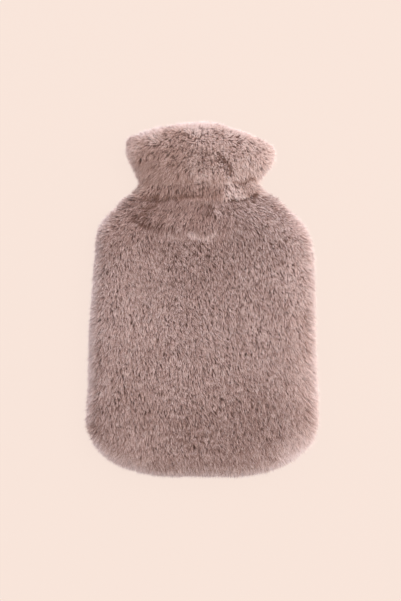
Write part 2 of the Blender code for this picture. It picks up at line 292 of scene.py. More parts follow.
# %% [markdown]
# ## The height of the two panels
#
# Both panels rise from one seam that runs round the sides and the bottom. Near the seam they curve like the
# edge of a cushion, and further in they are almost flat. The face is slack: it has a shallow dip left of the
# middle, and under the collar the cloth sags into a crease like a wide smile with a soft bulge over it.
#
# A height for every place on the pattern is easier to keep smooth than points placed by hand, and a fold is
# then just a little height added or taken away.

# %% Heights and folds
SEAM_GAP = 0.0003
SEAM_LEVEL = 0.0255
FRONT_EDGE_ROLL = 0.034
BACK_EDGE_ROLL = 0.027
NECK_ROLL = 0.050
ROLL_FULLNESS = 2.2
CROWN_FALL = 0.003
Level = namedtuple("Level", "along face underside")
POUCH_LEVELS = [
    Level(0.286, 0.0450, 0.0100),
    Level(0.275, 0.0470, 0.0095),
    Level(0.264, 0.0515, 0.0050),
    Level(0.250, 0.0552, 0.0000),
    Level(0.225, 0.0565, 0.0000),
    Level(0.170, 0.0580, 0.0000),
    Level(0.105, 0.0572, 0.0000),
    Level(0.050, 0.0555, 0.0000),
    Level(0.000, 0.0550, 0.0000),
]
CREASE_ALONG = 0.2385
CREASE_CURVE = 3.4
CREASE_DEPTH = 0.0034
CREASE_SPREAD = 0.0050
BULGE_ABOVE = 0.0120
BULGE_HEIGHT = 0.0024
BULGE_SPREAD = 0.0080
CREASE_LEFT_END = -0.070
CREASE_RIGHT_END = -0.020
BULGE_RIGHT_END = 0.020
CREASE_FADE = 0.018
Swell = namedtuple("Swell", "x along spread_x spread_along height")
FACE_SWELLS = [
    Swell(-0.048, 0.188, 0.034, 0.050, -0.0032),
    Swell(0.035, 0.120, 0.045, 0.040, 0.0012),
    Swell(-0.030, 0.075, 0.040, 0.030, 0.0010),
    Swell(0.070, 0.215, 0.030, 0.034, 0.0012),
]


def level(column, along):
    """Height of one column of the pouch's levels at a place along the cover."""
    return smooth_through(
        [row.along for row in POUCH_LEVELS],
        [getattr(row, column) for row in POUCH_LEVELS],
        along,
    )


def rolled(distance, radius):
    """How far a rounded edge has risen, from 0 to 1, at a distance in from the edge."""
    left_to_go = 1.0 - np.clip(distance / radius, 0.0, 1.0)
    return (1.0 - left_to_go ** ROLL_FULLNESS) ** (1.0 / ROLL_FULLNESS)


def roll_radius(along, body_radius):
    """The edge's roll grows from the body's to the neck's over the shoulders."""
    return body_radius + (NECK_ROLL - body_radius) * soft_step(along, 0.235, 0.275)


def face_folds(x, along):
    """Height that the crease, its bulge and the slack swells add to the face."""
    crease = CREASE_ALONG + CREASE_CURVE * x * x
    shown = soft_step(x, CREASE_LEFT_END - CREASE_FADE, CREASE_LEFT_END + CREASE_FADE)
    trough = -CREASE_DEPTH * np.exp(-((along - crease) / CREASE_SPREAD) ** 2)
    trough *= 1 - soft_step(x, CREASE_RIGHT_END - CREASE_FADE, CREASE_RIGHT_END + CREASE_FADE)
    bulge = BULGE_HEIGHT * np.exp(-((along - crease - BULGE_ABOVE) / BULGE_SPREAD) ** 2)
    bulge *= 1 - soft_step(x, BULGE_RIGHT_END - CREASE_FADE, BULGE_RIGHT_END + CREASE_FADE)
    height = (trough + bulge) * shown
    for swell in FACE_SWELLS:
        away = ((x - swell.x) / swell.spread_x) ** 2 + ((along - swell.along) / swell.spread_along) ** 2
        height = height + swell.height * np.exp(-away)
    return height


def front_height(x, along, distance, depth):
    """Height of the front panel at a depth in its wall, where 0 is the tips of the pile."""
    seam = SEAM_LEVEL + SEAM_GAP / 2
    crown = level("face", along) - CROWN_FALL * (x / HALF_WIDTH) ** 2 - depth
    risen = rolled(distance, roll_radius(along, FRONT_EDGE_ROLL) - depth)
    return seam + (crown - seam + face_folds(x, along) * risen) * risen


def back_height(x, along, distance, depth):
    """Height of the back panel at a depth in its wall, where 0 is its underside."""
    seam = SEAM_LEVEL - SEAM_GAP / 2
    underside = level("underside", along) + depth
    return seam - (seam - underside) * rolled(distance, roll_radius(along, BACK_EDGE_ROLL) - depth)


middle_height = front_height(0.0, LENGTH / 2, FRONT_EDGE_ROLL, 0.0)
print("the face is", round(float(middle_height), 4), "metres high in the middle")

# %% [markdown]
# ## A panel's skin
#
# A skin is a grid of points: its rows run from the neck down to the bottom edge, and its columns from left to
# right. The rows bend with the rounded bottom, so the grid fills the outline to its edge without thin
# triangles. The same grid is made at two depths. The deeper one carries the roots of the pile, and the outer
# one is where the tips end.

# %% Skins of the two panels
PANEL_ROWS = 96
PANEL_COLUMNS = 84
EDGE_CROWDING = 0.75         # 0 spaces the columns evenly, and 1 crowds them fully towards the edges


def crowded(count):
    """Places from 0 to 1 that close up towards both ends."""
    even = np.linspace(0.0, 1.0, count + 1)
    eased = (1 - np.cos(even * math.pi)) / 2
    return even + (eased - even) * EDGE_CROWDING


def crowded_down(count):
    """Places from 0 to 1 that close up towards the far end only."""
    even = np.linspace(0.0, 1.0, count + 1)
    eased = np.sin(even * math.pi / 2)
    return even + (eased - even) * EDGE_CROWDING


def panel_pattern(edge):
    """Places (x, along) that fill the edge, in rows from the neck to the bottom."""
    across = crowded(PANEL_COLUMNS)
    down = crowded_down(PANEL_ROWS)
    half = len(edge) // 2
    left_corner = int(np.argmin(np.abs(edge[:half, 1] - CORNER_ALONG)))
    right_corner = half + int(np.argmin(np.abs(edge[half:, 1] - CORNER_ALONG)))

    def stretch_of(first, last, shares):
        places = first + (last - first) * shares
        numbers = np.arange(len(edge))
        return np.stack([np.interp(places, numbers, edge[:, axis]) for axis in (0, 1)], axis=1)

    left = stretch_of(0, left_corner, down)[:, None, :]
    right = stretch_of(len(edge) - 1, right_corner, down)[:, None, :]
    bottom = stretch_of(left_corner, right_corner, across)[None, :, :]
    u = across[None, :, None]
    v = down[:, None, None]
    neck = (1 - u) * edge[0] + u * edge[-1]
    corners = (1 - v) * neck + v * ((1 - u) * edge[left_corner] + u * edge[right_corner])
    return (1 - v) * neck + v * bottom + (1 - u) * left + u * right - corners


def panel_skin(height_of, depth):
    """A panel's grid of points at a depth in its wall, in the cover's own frame."""
    edge = moved_in(EDGE, depth) if depth else EDGE
    pattern = panel_pattern(edge)
    flat = pattern.reshape(-1, 2)
    heights = height_of(flat[:, 0], flat[:, 1], distance_to(edge, flat), depth)
    points = np.column_stack([flat[:, 0], flat[:, 1] + model_low.y, heights])
    return points.reshape(*pattern.shape[:2], 3)


# %% [markdown]
# ## The collar's skin
#
# The collar is a tube that comes up from the neck seam, rolls over, and hangs down outside to its hem. One
# grid follows the side of the cloth that carries the pile: up the outside from the hem, over the roll, and
# down inside the mouth. Its rows are ovals round the neck, as wide as the table says.

# %% The collar's table and ovals
NECK_SEAM = 0.2863
WAIST_ALONG = 0.2915
SLIT = 0.0012
OVAL_FULLNESS = 2.4
ROLL_PEAK_X = 0.010
ROLL_DROP_LEFT = 2.20        # how fast the roll's top falls, for the square of the distance from its peak
ROLL_DROP_RIGHT = 1.36       # and for the power 1.5 of that distance, because it falls straighter there
HEM_DROOP = 0.0030
HEM_WAVE = 0.0010
HEM_WAVES_ROUND = 5
HEM_WAVE_START = 0.6
Collar = namedtuple("Collar", "name share along left right face underside layer")
COLLAR_ROWS = [
    Collar("hem", None, 0.2780, 0.0690, 0.0690, 0.0530, 0.0005, 0.0058),
    Collar("flare", None, 0.2840, 0.0645, 0.0628, 0.0535, 0.0000, 0.0078),
    Collar("waist", 0.00, None, 0.0620, 0.0597, 0.0505, 0.0025, 0.0072),
    Collar("cheek", 0.28, None, 0.0663, 0.0645, 0.0570, 0.0000, 0.0084),
    Collar("swell", 0.55, None, 0.0715, 0.0722, 0.0620, -0.0020, 0.0088),
    Collar("widest", 0.82, None, 0.0748, 0.0752, 0.0640, -0.0030, 0.0088),
    Collar("turn", 1.00, None, 0.0744, 0.0738, 0.0640, -0.0030, 0.0088),
]
COLLAR_BY_NAME = {row.name: row for row in COLLAR_ROWS}
ROLL_HALF = COLLAR_BY_NAME["turn"].layer + SLIT / 2
Station = namedtuple("Station", "inside share along turned", defaults=(False, None, None, 0.0))


def collar_value(column, station):
    """One column of the collar's rows, at a station."""
    if station.share is None:
        rows = [row for row in COLLAR_ROWS if row.share is None] + [COLLAR_BY_NAME["waist"]]
        places = [WAIST_ALONG if row.along is None else row.along for row in rows]
        return float(smooth_through(places, [getattr(row, column) for row in rows], station.along))
    rows = [row for row in COLLAR_ROWS if row.share is not None]
    shares = [row.share for row in rows]
    return float(smooth_through(shares, [getattr(row, column) for row in rows], station.share))


def oval(angles, left, right, top, bottom):
    """Points of a squarish oval that reaches left, right, top and bottom."""
    cosine = np.cos(angles)
    sine = np.sin(angles)
    reach = np.where(cosine > 0, right, left)
    x = np.sign(cosine) * reach * np.abs(cosine) ** (2 / OVAL_FULLNESS)
    half_depth = (top - bottom) / 2
    z = (top + bottom) / 2 + np.sign(sine) * half_depth * np.abs(sine) ** (2 / OVAL_FULLNESS)
    return x, z


def turn_line(angles):
    """Where the cloth starts to roll over: the roll's top falls away to both sides of its peak."""
    turn = COLLAR_BY_NAME["turn"]
    middle, _ = oval(angles, turn.left - ROLL_HALF, turn.right - ROLL_HALF, 1.0, 0.0)
    aside = middle - ROLL_PEAK_X
    drop = np.where(aside > 0, ROLL_DROP_RIGHT * np.abs(aside) ** 1.5, ROLL_DROP_LEFT * aside * aside)
    return LENGTH - drop - ROLL_HALF


def hem_hang(angles, along):
    """How much lower the skirt below the waist hangs: most at the hem, more at the face than at the sides."""
    below = (WAIST_ALONG - along) / (WAIST_ALONG - COLLAR_BY_NAME["hem"].along)
    droop = HEM_DROOP * np.abs(np.sin(angles))
    wave = HEM_WAVE * np.sin(HEM_WAVES_ROUND * angles + HEM_WAVE_START)
    return (droop + wave) * below


# %% The collar's skin
COLLAR_COLUMNS = 120
HEM_ROWS = 6
OUTER_ROWS = 16
ROLL_ROWS = 12
MOUTH_ROWS = 12
FLOOR_CLEARANCE = 0.0004


def collar_stations():
    """Stations along the pile's side of the collar's cloth: from the hem, over the roll, into the mouth."""
    hem = COLLAR_BY_NAME["hem"].along
    stations = [Station(along=place) for place in np.linspace(hem, WAIST_ALONG, HEM_ROWS + 1)[:-1]]
    stations += [Station(share=share) for share in np.linspace(0.0, 1.0, OUTER_ROWS)]
    stations += [Station(share=1.0, turned=turned) for turned in np.linspace(0.0, math.pi, ROLL_ROWS)[1:-1]]
    stations += [Station(True, share=share) for share in np.linspace(1.0, 0.0, MOUTH_ROWS)]
    stations += [Station(True, along=NECK_SEAM)]
    return stations


def collar_ring(station, angles, depth):
    """One oval of the collar at a depth in its wall."""
    columns = ("left", "right", "face", "underside", "layer")
    left, right, face, underside, layer = (collar_value(column, station) for column in columns)
    if station.inside:
        inset = 2 * layer + SLIT - depth
        rise = 0.0
    else:
        around = ROLL_HALF - depth
        inset = depth + around * (1 - math.cos(station.turned))
        rise = around * math.sin(station.turned)
    x, z = oval(angles, left - inset, right - inset, face - inset, underside + inset)
    if station.share is not None:
        along = WAIST_ALONG + (turn_line(angles) - WAIST_ALONG) * station.share + rise
    elif station.inside:
        along = np.full(len(angles), station.along)
    else:
        along = station.along - hem_hang(angles, station.along)
    return np.stack([x, along + model_low.y, np.maximum(z, FLOOR_CLEARANCE)], axis=1)


def collar_skin(depth):
    """The collar's grid of points at a depth in its wall, closed round the neck."""
    angles = np.linspace(0.0, 2 * math.pi, COLLAR_COLUMNS + 1)
    return np.stack([collar_ring(station, angles, depth) for station in collar_stations()])


# %% [markdown]
# ## Backing cloth
#
# The pile stands on a knitted backing, a millimetre thick. Each backing is a closed thin sheet between two
# skins, so it has a right side, a wrong side and cut edges like real cloth. It shows only inside the pouch
# and between the locks, but it gives the folds their shape and keeps light from passing through the pile.

# %% Sheets between two skins
ROOT_DEPTH = 0.0076          # from the tips of the pile down to the backing
BACKING = 0.0012
SHEET_ROW_STEP = {False: 2, True: 1}     # the pile is placed on a finer grid than the sheets need


def sheet_between(name, skins, closed_round=False):
    """A closed thin sheet between the roots' skin and the wrong side's."""
    outer = skins.roots[::SHEET_ROW_STEP[closed_round], ::2]
    inner = skins.wrong_side[::SHEET_ROW_STEP[closed_round], ::2]
    rows, columns = outer.shape[:2]
    if closed_round:
        outer = outer[:, :-1]
        inner = inner[:, :-1]
        columns -= 1
    points = np.concatenate([outer.reshape(-1, 3), inner.reshape(-1, 3)])
    inner_start = rows * columns
    row = np.arange(rows - 1)[:, None]
    last_column = columns if closed_round else columns - 1
    column = np.arange(last_column)[None, :]
    beside = (column + 1) % columns
    corners = [row * columns + column, (row + 1) * columns + column]
    corners += [(row + 1) * columns + beside, row * columns + beside]
    right_side = np.stack(np.broadcast_arrays(*corners), axis=-1).reshape(-1, 4)
    wrong_side = right_side[:, ::-1] + inner_start
    faces = [right_side, wrong_side]
    for edge_row, flip in ((0, False), (rows - 1, True)):
        start = edge_row * columns + np.arange(last_column)
        end = edge_row * columns + (np.arange(last_column) + 1) % columns
        strip = np.stack([start, end, end + inner_start, start + inner_start], axis=-1)
        faces.append(strip[:, ::-1] if flip else strip)
    if not closed_round:
        for edge_column, flip in ((0, True), (columns - 1, False)):
            start = np.arange(rows - 1) * columns + edge_column
            end = start + columns
            strip = np.stack([start, end, end + inner_start, start + inner_start], axis=-1)
            faces.append(strip[:, ::-1] if flip else strip)
    mesh = bpy.data.meshes.new(name)
    mesh.from_pydata(points.tolist(), [], np.concatenate(faces).tolist())
    mesh.validate()
    mesh.shade_smooth()
    mesh.set_sharp_from_angle(angle=math.radians(50))
    sheet = bpy.data.objects.new(name, mesh)
    bpy.context.scene.collection.objects.link(sheet)
    print(name, "has", len(mesh.polygons), "faces")
    return sheet


Skins = namedtuple("Skins", "tips roots wrong_side")


def skins_of(skin_at, layer_depth):
    """The three skins of one cloth: where the pile ends, where it is rooted, and its wrong side."""
    return Skins(skin_at(0.0), skin_at(ROOT_DEPTH), skin_at(layer_depth))


front_skins = skins_of(lambda depth: panel_skin(front_height, depth), ROOT_DEPTH + BACKING)
back_skins = skins_of(lambda depth: panel_skin(back_height, depth), ROOT_DEPTH + BACKING)
collar_skins = skins_of(collar_skin, ROOT_DEPTH + BACKING)
front_cloth = sheet_between("front_backing", front_skins)
back_cloth = sheet_between("back_backing", back_skins)
collar_cloth = sheet_between("collar_backing", collar_skins, closed_round=True)

# %% [markdown]
# ## How the pile is brushed
#
# Long pile lies the way it was last stroked. Here that is written down as strokes: each row of the table is
# a region of the face, with the way its pile swings from straight down, how untidy it is, how much it stands
# up, a tone that makes it darker or paler than the rest, and how mottled it is. The tone holds painted shade
# and painted light as well as the pile's own colour: it is darker where shade falls under the hem, under the
# lip and in hollows, and paler where light catches the rim and the right side. Between the rows everything
# blends, and where two strokes disagree the pile stands up between them, as it does along a real parting.

# %% Strokes on the pouch
Stroke = namedtuple("Stroke", "name x along reach swing stray stand tone mottle", defaults=(1.0,))
POUCH_STROKES = [
    # painted shade: the pile under the hem is toned darker for the shade that the collar casts on it
    Stroke("under the hem, left", -0.038, 0.266, 0.012, -24, 8, -0.10, -1.80, 0.80),
    Stroke("under the hem", -0.008, 0.264, 0.014, -18, 8, -0.10, -1.40, 0.75),
    # painted shade in the hollow beside the proud tuft
    Stroke("dark hollow", 0.008, 0.2680, 0.0035, 0, 16, 0.30, -2.60),
    Stroke("proud tuft", 0.0165, 0.2665, 0.0038, 14, 24, 0.35, 0.50),
    Stroke("left of the parting", -0.060, 0.264, 0.012, -42, 10, 0.15, -2.10),
    Stroke("top of the left shoulder", -0.076, 0.2725, 0.005, -50, 14, 0.50, -1.30),
    Stroke("left shoulder", -0.080, 0.252, 0.015, -28, 12, 0.25, -1.20),
    Stroke("left shoulder's edge", -0.092, 0.258, 0.009, -36, 14, 0.50, 0.60),
    Stroke("chin", -0.022, 0.250, 0.010, -8, 10, 0.00, -0.95),
    Stroke("chin, right", 0.014, 0.250, 0.010, 6, 10, 0.05, -1.00),
    Stroke("chin's pale patch", -0.029, 0.2450, 0.0050, -4, 16, 0.45, 0.10),
    Stroke("under the left crease", -0.058, 0.236, 0.014, 10, 12, 0.25, -1.00),
    Stroke("top of the right shoulder", 0.060, 0.268, 0.012, 44, 9, 0.10, -0.40, 2.15),
    Stroke("right shoulder's corner", 0.076, 0.2725, 0.005, 48, 12, 0.50, -0.30, 1.20),
    Stroke("right shoulder", 0.070, 0.252, 0.015, 26, 9, 0.15, -0.55, 2.35),
    # painted light: the right shoulder's edge, the right side, the right edge and the bottom right are toned
    # paler, on the side where the light falls
    Stroke("right shoulder's edge", 0.092, 0.254, 0.010, 34, 12, 0.45, 0.95, 1.20),
    Stroke("right of the chin", 0.050, 0.238, 0.014, 20, 12, 0.25, -0.95, 1.60),
    Stroke("upper middle", -0.006, 0.214, 0.024, 12, 12, 0.35, -0.65, 1.15),
    Stroke("upper left", -0.074, 0.210, 0.022, 8, 12, 0.25, -0.20, 1.10),
    Stroke("right side", 0.100, 0.196, 0.014, 10, 14, 0.45, 0.85, 1.20),
    Stroke("left edge", -0.103, 0.185, 0.014, -8, 14, 0.35, -0.05),
    Stroke("middle", 0.004, 0.147, 0.030, 24, 11, 0.35, 0.05, 1.05),
    Stroke("middle left", -0.070, 0.156, 0.028, 10, 12, 0.30, 0.10, 1.10),
    Stroke("middle right", 0.064, 0.156, 0.026, 8, 12, 0.40, 0.22, 1.05),
    Stroke("right edge", 0.104, 0.110, 0.013, 10, 14, 0.45, 0.50),
    Stroke("left edge, middle", -0.106, 0.110, 0.014, -4, 14, 0.35, -0.30),
    Stroke("lower left", -0.078, 0.058, 0.026, 8, 14, 0.35, -0.65, 1.10),
    Stroke("lower right", 0.055, 0.048, 0.026, 20, 15, 0.40, -1.20, 1.25),
    Stroke("bottom", -0.010, 0.022, 0.022, 14, 16, 0.40, -1.25, 1.30),
    Stroke("left edge, low", -0.112, 0.056, 0.008, -40, 18, 0.50, -2.60),
    Stroke("bottom right", 0.096, 0.034, 0.014, 34, 18, 0.50, 0.90, 1.10),
    Stroke("bottom left", -0.096, 0.030, 0.014, -26, 18, 0.45, -0.60),
]

# %% Strokes on the collar
COLLAR_STROKES = [
    # painted highlight: the turn of the rim and the left rim, rim and right rim rows are toned pale where
    # light catches the top of the collar
    Stroke("turn of the rim", 0.006, 0.3405, 0.006, 100, 24, 0.30, 2.60),
    Stroke("left corner", -0.067, 0.330, 0.010, -62, 18, 0.45, 0.05, 0.60),
    Stroke("left cheek", -0.050, 0.309, 0.013, -30, 10, 0.15, -1.35, 0.55),
    Stroke("middle left", -0.027, 0.313, 0.011, -42, 16, 0.40, -1.15, 0.75),
    Stroke("under the rim, left", -0.025, 0.332, 0.009, -54, 16, 0.35, -0.45, 0.85),
    Stroke("under the rim", 0.014, 0.332, 0.009, 44, 30, 0.35, 0.80, 1.15),
    Stroke("tufted middle", 0.000, 0.312, 0.011, 0, 45, 0.80, -0.10, 1.15),
    # painted highlight on the lip of the roll
    Stroke("lip of the roll", 0.000, 0.2940, 0.0060, -4, 20, 0.65, 0.90, 1.10),
    Stroke("dark parting", 0.027, 0.3080, 0.0055, 20, 40, 0.85, 0.60, 1.60),
    Stroke("middle right", 0.039, 0.315, 0.010, 28, 20, 0.50, 0.70, 1.20),
    Stroke("right cheek", 0.054, 0.309, 0.011, 20, 18, 0.45, 1.00, 1.30),
    Stroke("right corner", 0.067, 0.322, 0.010, 46, 20, 0.50, 1.00, 1.20),
    Stroke("left rim", -0.048, 0.338, 0.009, -125, 22, 0.45, 1.25),
    Stroke("rim", -0.004, 0.346, 0.011, 180, 26, 0.45, 3.50),
    Stroke("right rim", 0.036, 0.342, 0.010, 140, 22, 0.45, 2.70),
    # painted shade: the band under the lip is toned darker from its left end to its middle
    Stroke("band, left end", -0.068, 0.282, 0.009, -38, 8, -0.30, -0.95, 0.70),
    Stroke("band, left", -0.047, 0.282, 0.009, -10, 5, -0.20, -1.30, 0.70),
    Stroke("band", -0.020, 0.282, 0.011, 2, 4, -0.20, -1.60, 0.95),
    Stroke("band, middle", 0.012, 0.282, 0.009, 0, 5, -0.20, -1.50, 0.80),
    # painted highlight on the fan's lit tips, and painted shade in the gap beside it
    Stroke("fan", 0.0362, 0.2795, 0.0080, 24, 9, 0.15, 2.10, 1.30),
    Stroke("right of the fan", 0.0515, 0.2865, 0.0045, -20, 14, 0.30, -0.10, 0.90),
    Stroke("gap beside the fan", 0.0570, 0.2785, 0.0038, -30, 14, 0.20, -2.00),
    Stroke("band, right end", 0.068, 0.283, 0.010, 42, 8, -0.25, 1.90, 0.60),
]
print(len(POUCH_STROKES), "strokes on the pouch and", len(COLLAR_STROKES), "on the collar")

# %% [markdown]
# ### Lines where the pile parts
#
# Along a crease the pile opens, and it is painted darker as well, for the shade there. Along a ridge it
# stands proud, and it is painted paler, a painted highlight. Both are lines with a spread. "shorter" is the
# share of the length that is missing from strands rooted on the line, and "darker" is painted shade in tones,
# for strands whose tips lie on it. Both can be negative, as they are on a ridge, where "darker" is a painted
# highlight.

# %% Partings and ridges
Parting = namedtuple("Parting", "name x along to_x to_along spread shorter darker")
# The pouch's lines paint shade where darker is positive: under the hem, the tuft and the fan, and along the
# left parting and crease. Where it is negative they paint the smile's highlight.
POUCH_PARTINGS = [
    Parting("shade of the hem, left", -0.0585, 0.2730, -0.0430, 0.2712, 0.0016, 0.00, 2.4),
    Parting("shade of the hem", -0.0430, 0.2712, -0.0020, 0.2735, 0.0014, 0.00, 2.0),
    Parting("left parting", -0.0451, 0.2672, -0.0660, 0.2514, 0.0014, 0.25, 1.6),
    Parting("left crease", -0.0665, 0.2510, -0.0517, 0.2446, 0.0011, 0.25, 2.0),
    Parting("left crease, inner end", -0.0517, 0.2446, -0.0245, 0.2400, 0.0013, 0.25, 2.2),
    Parting("smile, left", -0.0118, 0.2382, 0.0000, 0.2320, 0.0022, -0.10, -2.6),
    Parting("smile, right", 0.0055, 0.2322, 0.0150, 0.2382, 0.0022, -0.10, -2.4),
    Parting("under the tuft", 0.0010, 0.2660, 0.0100, 0.2648, 0.0016, 0.25, 2.0),
    Parting("under the fan", 0.0290, 0.2705, 0.0530, 0.2720, 0.0014, 0.00, 2.8),
]
# The collar's lines paint shade where darker is positive: under the hem and the lip, and in folds, gaps and
# partings. Where it is negative they paint highlights on the lip, the fan's first hairs and the pale rim.
COLLAR_PARTINGS = [
    Parting("lip that hangs over", -0.0450, 0.2975, 0.0240, 0.2955, 0.0036, -0.40, -0.3),
    Parting("hem's shade, left", -0.0570, 0.2742, -0.0440, 0.2726, 0.0016, 0.00, 2.9),
    Parting("hem's shade, middle left", -0.0440, 0.2726, -0.0200, 0.2742, 0.0015, 0.00, 2.6),
    Parting("hem's shade, middle", -0.0200, 0.2742, 0.0000, 0.2738, 0.0015, 0.00, 2.2),
    Parting("fold over the fan", 0.0340, 0.2871, 0.0540, 0.2915, 0.0014, 0.45, 3.8),
    Parting("left of the fan", 0.0262, 0.2880, 0.0330, 0.2730, 0.0014, 0.20, 1.8),
    Parting("fan's first hairs", 0.0290, 0.2890, 0.0362, 0.2740, 0.0010, 0.00, -1.2),
    Parting("dark spot under the lip", 0.0020, 0.2905, 0.0040, 0.2885, 0.0018, 0.35, 2.6),
    Parting("dark spot on the lip", -0.0145, 0.2900, -0.0140, 0.2880, 0.0013, 0.35, 2.0),
    Parting("dark parting", 0.0205, 0.3125, 0.0300, 0.2985, 0.0026, 0.55, 3.2),
    Parting("swirl under the rim", -0.0250, 0.3340, 0.0050, 0.3320, 0.0016, 0.30, 1.0),
    Parting("gap right of the fan", 0.0500, 0.2728, 0.0565, 0.2795, 0.0017, 0.40, 4.2),
    Parting("pale rim, left", -0.0600, 0.3350, -0.0120, 0.3500, 0.0050, 0.10, -0.9),
    Parting("pale rim, middle", -0.0120, 0.3500, 0.0300, 0.3470, 0.0050, 0.20, -0.9),
    Parting("pale rim, right", 0.0300, 0.3470, 0.0680, 0.3360, 0.0070, 0.45, -1.0),
]
print(len(POUCH_PARTINGS), "lines on the pouch and", len(COLLAR_PARTINGS), "on the collar")

# %% Reading the strokes and the lines
CORE_WEIGHT = 0.05           # smaller keeps a stroke truer in its own middle
PARTED_STAND = 0.55          # how much pile stands up where two strokes go opposite ways
USUAL_STRAY = 14.0           # the stray at which the swing wanders by just the amounts of its patches
WOBBLE = 0.0011              # how far the strokes and lines wander from their table
WOBBLE_SIZE = 0.009
WOBBLE_SEEDS = (3, 4)
SEEN_SHARE = 0.85            # the part of a strand that one sees is this far towards its tip
WAVES = 10                   # a smooth random field is the sum of so many waves
WAVE_LEAST = 0.7             # how often the slowest of them turns over a patch
WAVE_SPREAD = 0.8            # how much more often the fastest does
WAVES_SUM = 3.2              # brings the sum back to about -1 to 1
Patches = namedtuple("Patches", "amount size seed")
SWING_PATCHES = [Patches(7.0, 0.045, 5), Patches(9.0, 0.012, 6)]         # in degrees
TONE_PATCHES = [Patches(0.16, 0.030, 7), Patches(0.22, 0.007, 8)]        # in tones
Brushed = namedtuple("Brushed", "swing stray stand tone mottle length")


def wander(x, along, size, seed):
    """A smooth random field of about -1 to 1, whose patches are about as wide as size."""
    dice = np.random.default_rng(seed)
    total = np.zeros(len(x))
    for _ in range(WAVES):
        heading = dice.random() * 2 * math.pi
        wave = (WAVE_LEAST + WAVE_SPREAD * dice.random()) * math.pi / size
        way = x * math.cos(heading) + along * math.sin(heading)
        total += np.sin(way * wave + dice.random() * 2 * math.pi)
    return total / WAVES_SUM


def patchy(patches, x, along):
    """The sum of several smooth random fields."""
    return sum(row.amount * wander(x, along, row.size, row.seed) for row in patches)


def wobbled(x, along):
    """The same places, moved a little by a smooth random field, so that no line stays straight."""
    shift_x, shift_along = (WOBBLE * wander(x, along, WOBBLE_SIZE, seed) for seed in WOBBLE_SEEDS)
    return x + shift_x, along + shift_along


def nearness(line, x, along):
    """1 on a line of the table, fading to 0 beside it."""
    x, along = wobbled(x, along)
    step = np.array([line.to_x - line.x, line.to_along - line.along])
    offset = np.stack([x - line.x, along - line.along], axis=1)
    share = np.clip(offset @ step / (step @ step), 0.0, 1.0)
    away = np.linalg.norm(offset - share[:, None] * step, axis=1)
    return np.exp(-(away / line.spread) ** 2)


def brushed(strokes, partings, x, along):
    """How the pile lies at each place: blended from the strokes by how near they are, then parted."""
    weights = []
    near_x, near_along = wobbled(x, along)
    for stroke in strokes:
        away = ((near_x - stroke.x) ** 2 + (near_along - stroke.along) ** 2) / stroke.reach ** 2
        weights.append(1.0 / (CORE_WEIGHT + away) ** 2)
    weights = np.stack(weights)
    weights /= weights.sum(axis=0)

    def blend_of(name):
        return np.array([getattr(stroke, name) for stroke in strokes], float) @ weights

    headings = np.radians([stroke.swing for stroke in strokes])
    sideways = np.sin(headings) @ weights
    downwards = np.cos(headings) @ weights
    agreement = np.clip(np.hypot(sideways, downwards), 0.0, 1.0)
    stray = blend_of("stray")
    swing = np.degrees(np.arctan2(sideways, downwards))
    swing += patchy(SWING_PATCHES, x, along) * stray / USUAL_STRAY
    stand = np.maximum(blend_of("stand"), PARTED_STAND * (1 - agreement))
    tone = blend_of("tone") + patchy(TONE_PATCHES, x, along)
    length = np.ones(len(x))
    for line in partings:
        length -= line.shorter * nearness(line, x, along)
    return Brushed(swing, stray, stand, tone, blend_of("mottle"), length)


def line_shade_and_highlight(partings, x, along):
    """How much painted shade the lines put on a strand, by where it is seen; a negative amount is a painted
    highlight.
    """
    darker = np.zeros(len(x))
    for line in partings:
        darker += line.darker * nearness(line, x, along)
    return darker


middle_lie = brushed(POUCH_STROKES, POUCH_PARTINGS, np.zeros(1), np.array([LENGTH / 2]))
print("halfway along the face the pile swings", round(float(middle_lie.swing[0])), "degrees to the right")

# %% [markdown]
# ## Growing the pile
#
# Pile can be made with a hair system, but its curves vanish when the model is used elsewhere, so each strand
# here is a real, narrow blade of two faces that ends in a point. Strands grow in small locks: a lock has one
# place, one heading and one tone, and the tips of its strands draw together. Locks in turn draw together into
# clumps, more where the pile stands than where it lies, and that gives plush its grain. One strand in five is
# a guard hair: thin, pale and longer than the rest. Together with the painted edge light they are the pale
# fuzz round the outline.
#
# Every strand starts square to the backing and bends over towards the way it is brushed. On the cover's
# rounded sides pile is pressed flatter where it is brushed uphill, and on the upright parts it hangs down and
# hides the seam. Its light is worked out partly as if it lay on the plush's own surface, because a thousand
# hairs together shade like soft cloth, while a thousand flat blades would glitter.

# %% Places on a skin


def unit(vectors):
    """Vectors of length one."""
    return vectors / np.maximum(np.linalg.norm(vectors, axis=-1, keepdims=True), 1e-12)


def grid_directions(grid):
    """Unit vectors down the rows of a grid, and its outward normal."""
    down = np.gradient(grid, axis=0)
    across = np.gradient(grid, axis=1)
    return unit(down), unit(np.cross(down, across))


def cell_areas(grid):
    """Area of each cell of a grid."""
    first = grid[1:, 1:] - grid[:-1, :-1]
    second = grid[1:, :-1] - grid[:-1, 1:]
    return np.linalg.norm(np.cross(first, second), axis=-1) / 2


def pick_places(areas, count, dice):
    """Random places on a grid, as many on each cell as its area earns."""
    shares = np.cumsum(areas.ravel())
    cells = np.searchsorted(shares, dice.random(count) * shares[-1])
    cells = np.minimum(cells, areas.size - 1)
    rows, columns = np.divmod(cells, areas.shape[1])
    return rows, columns, dice.random(count)[:, None], dice.random(count)[:, None]


def read_grid(grid, places):
    """Values of a grid at places inside its cells."""
    rows, columns, a, b = places
    near = grid[rows, columns] * (1 - b) + grid[rows, columns + 1] * b
    far = grid[rows + 1, columns] * (1 - b) + grid[rows + 1, columns + 1] * b
    return near * (1 - a) + far * a


for skins in (front_skins, back_skins, collar_skins):
    print("pile covers", round(float(cell_areas(skins.tips).sum()), 4), "square metres")

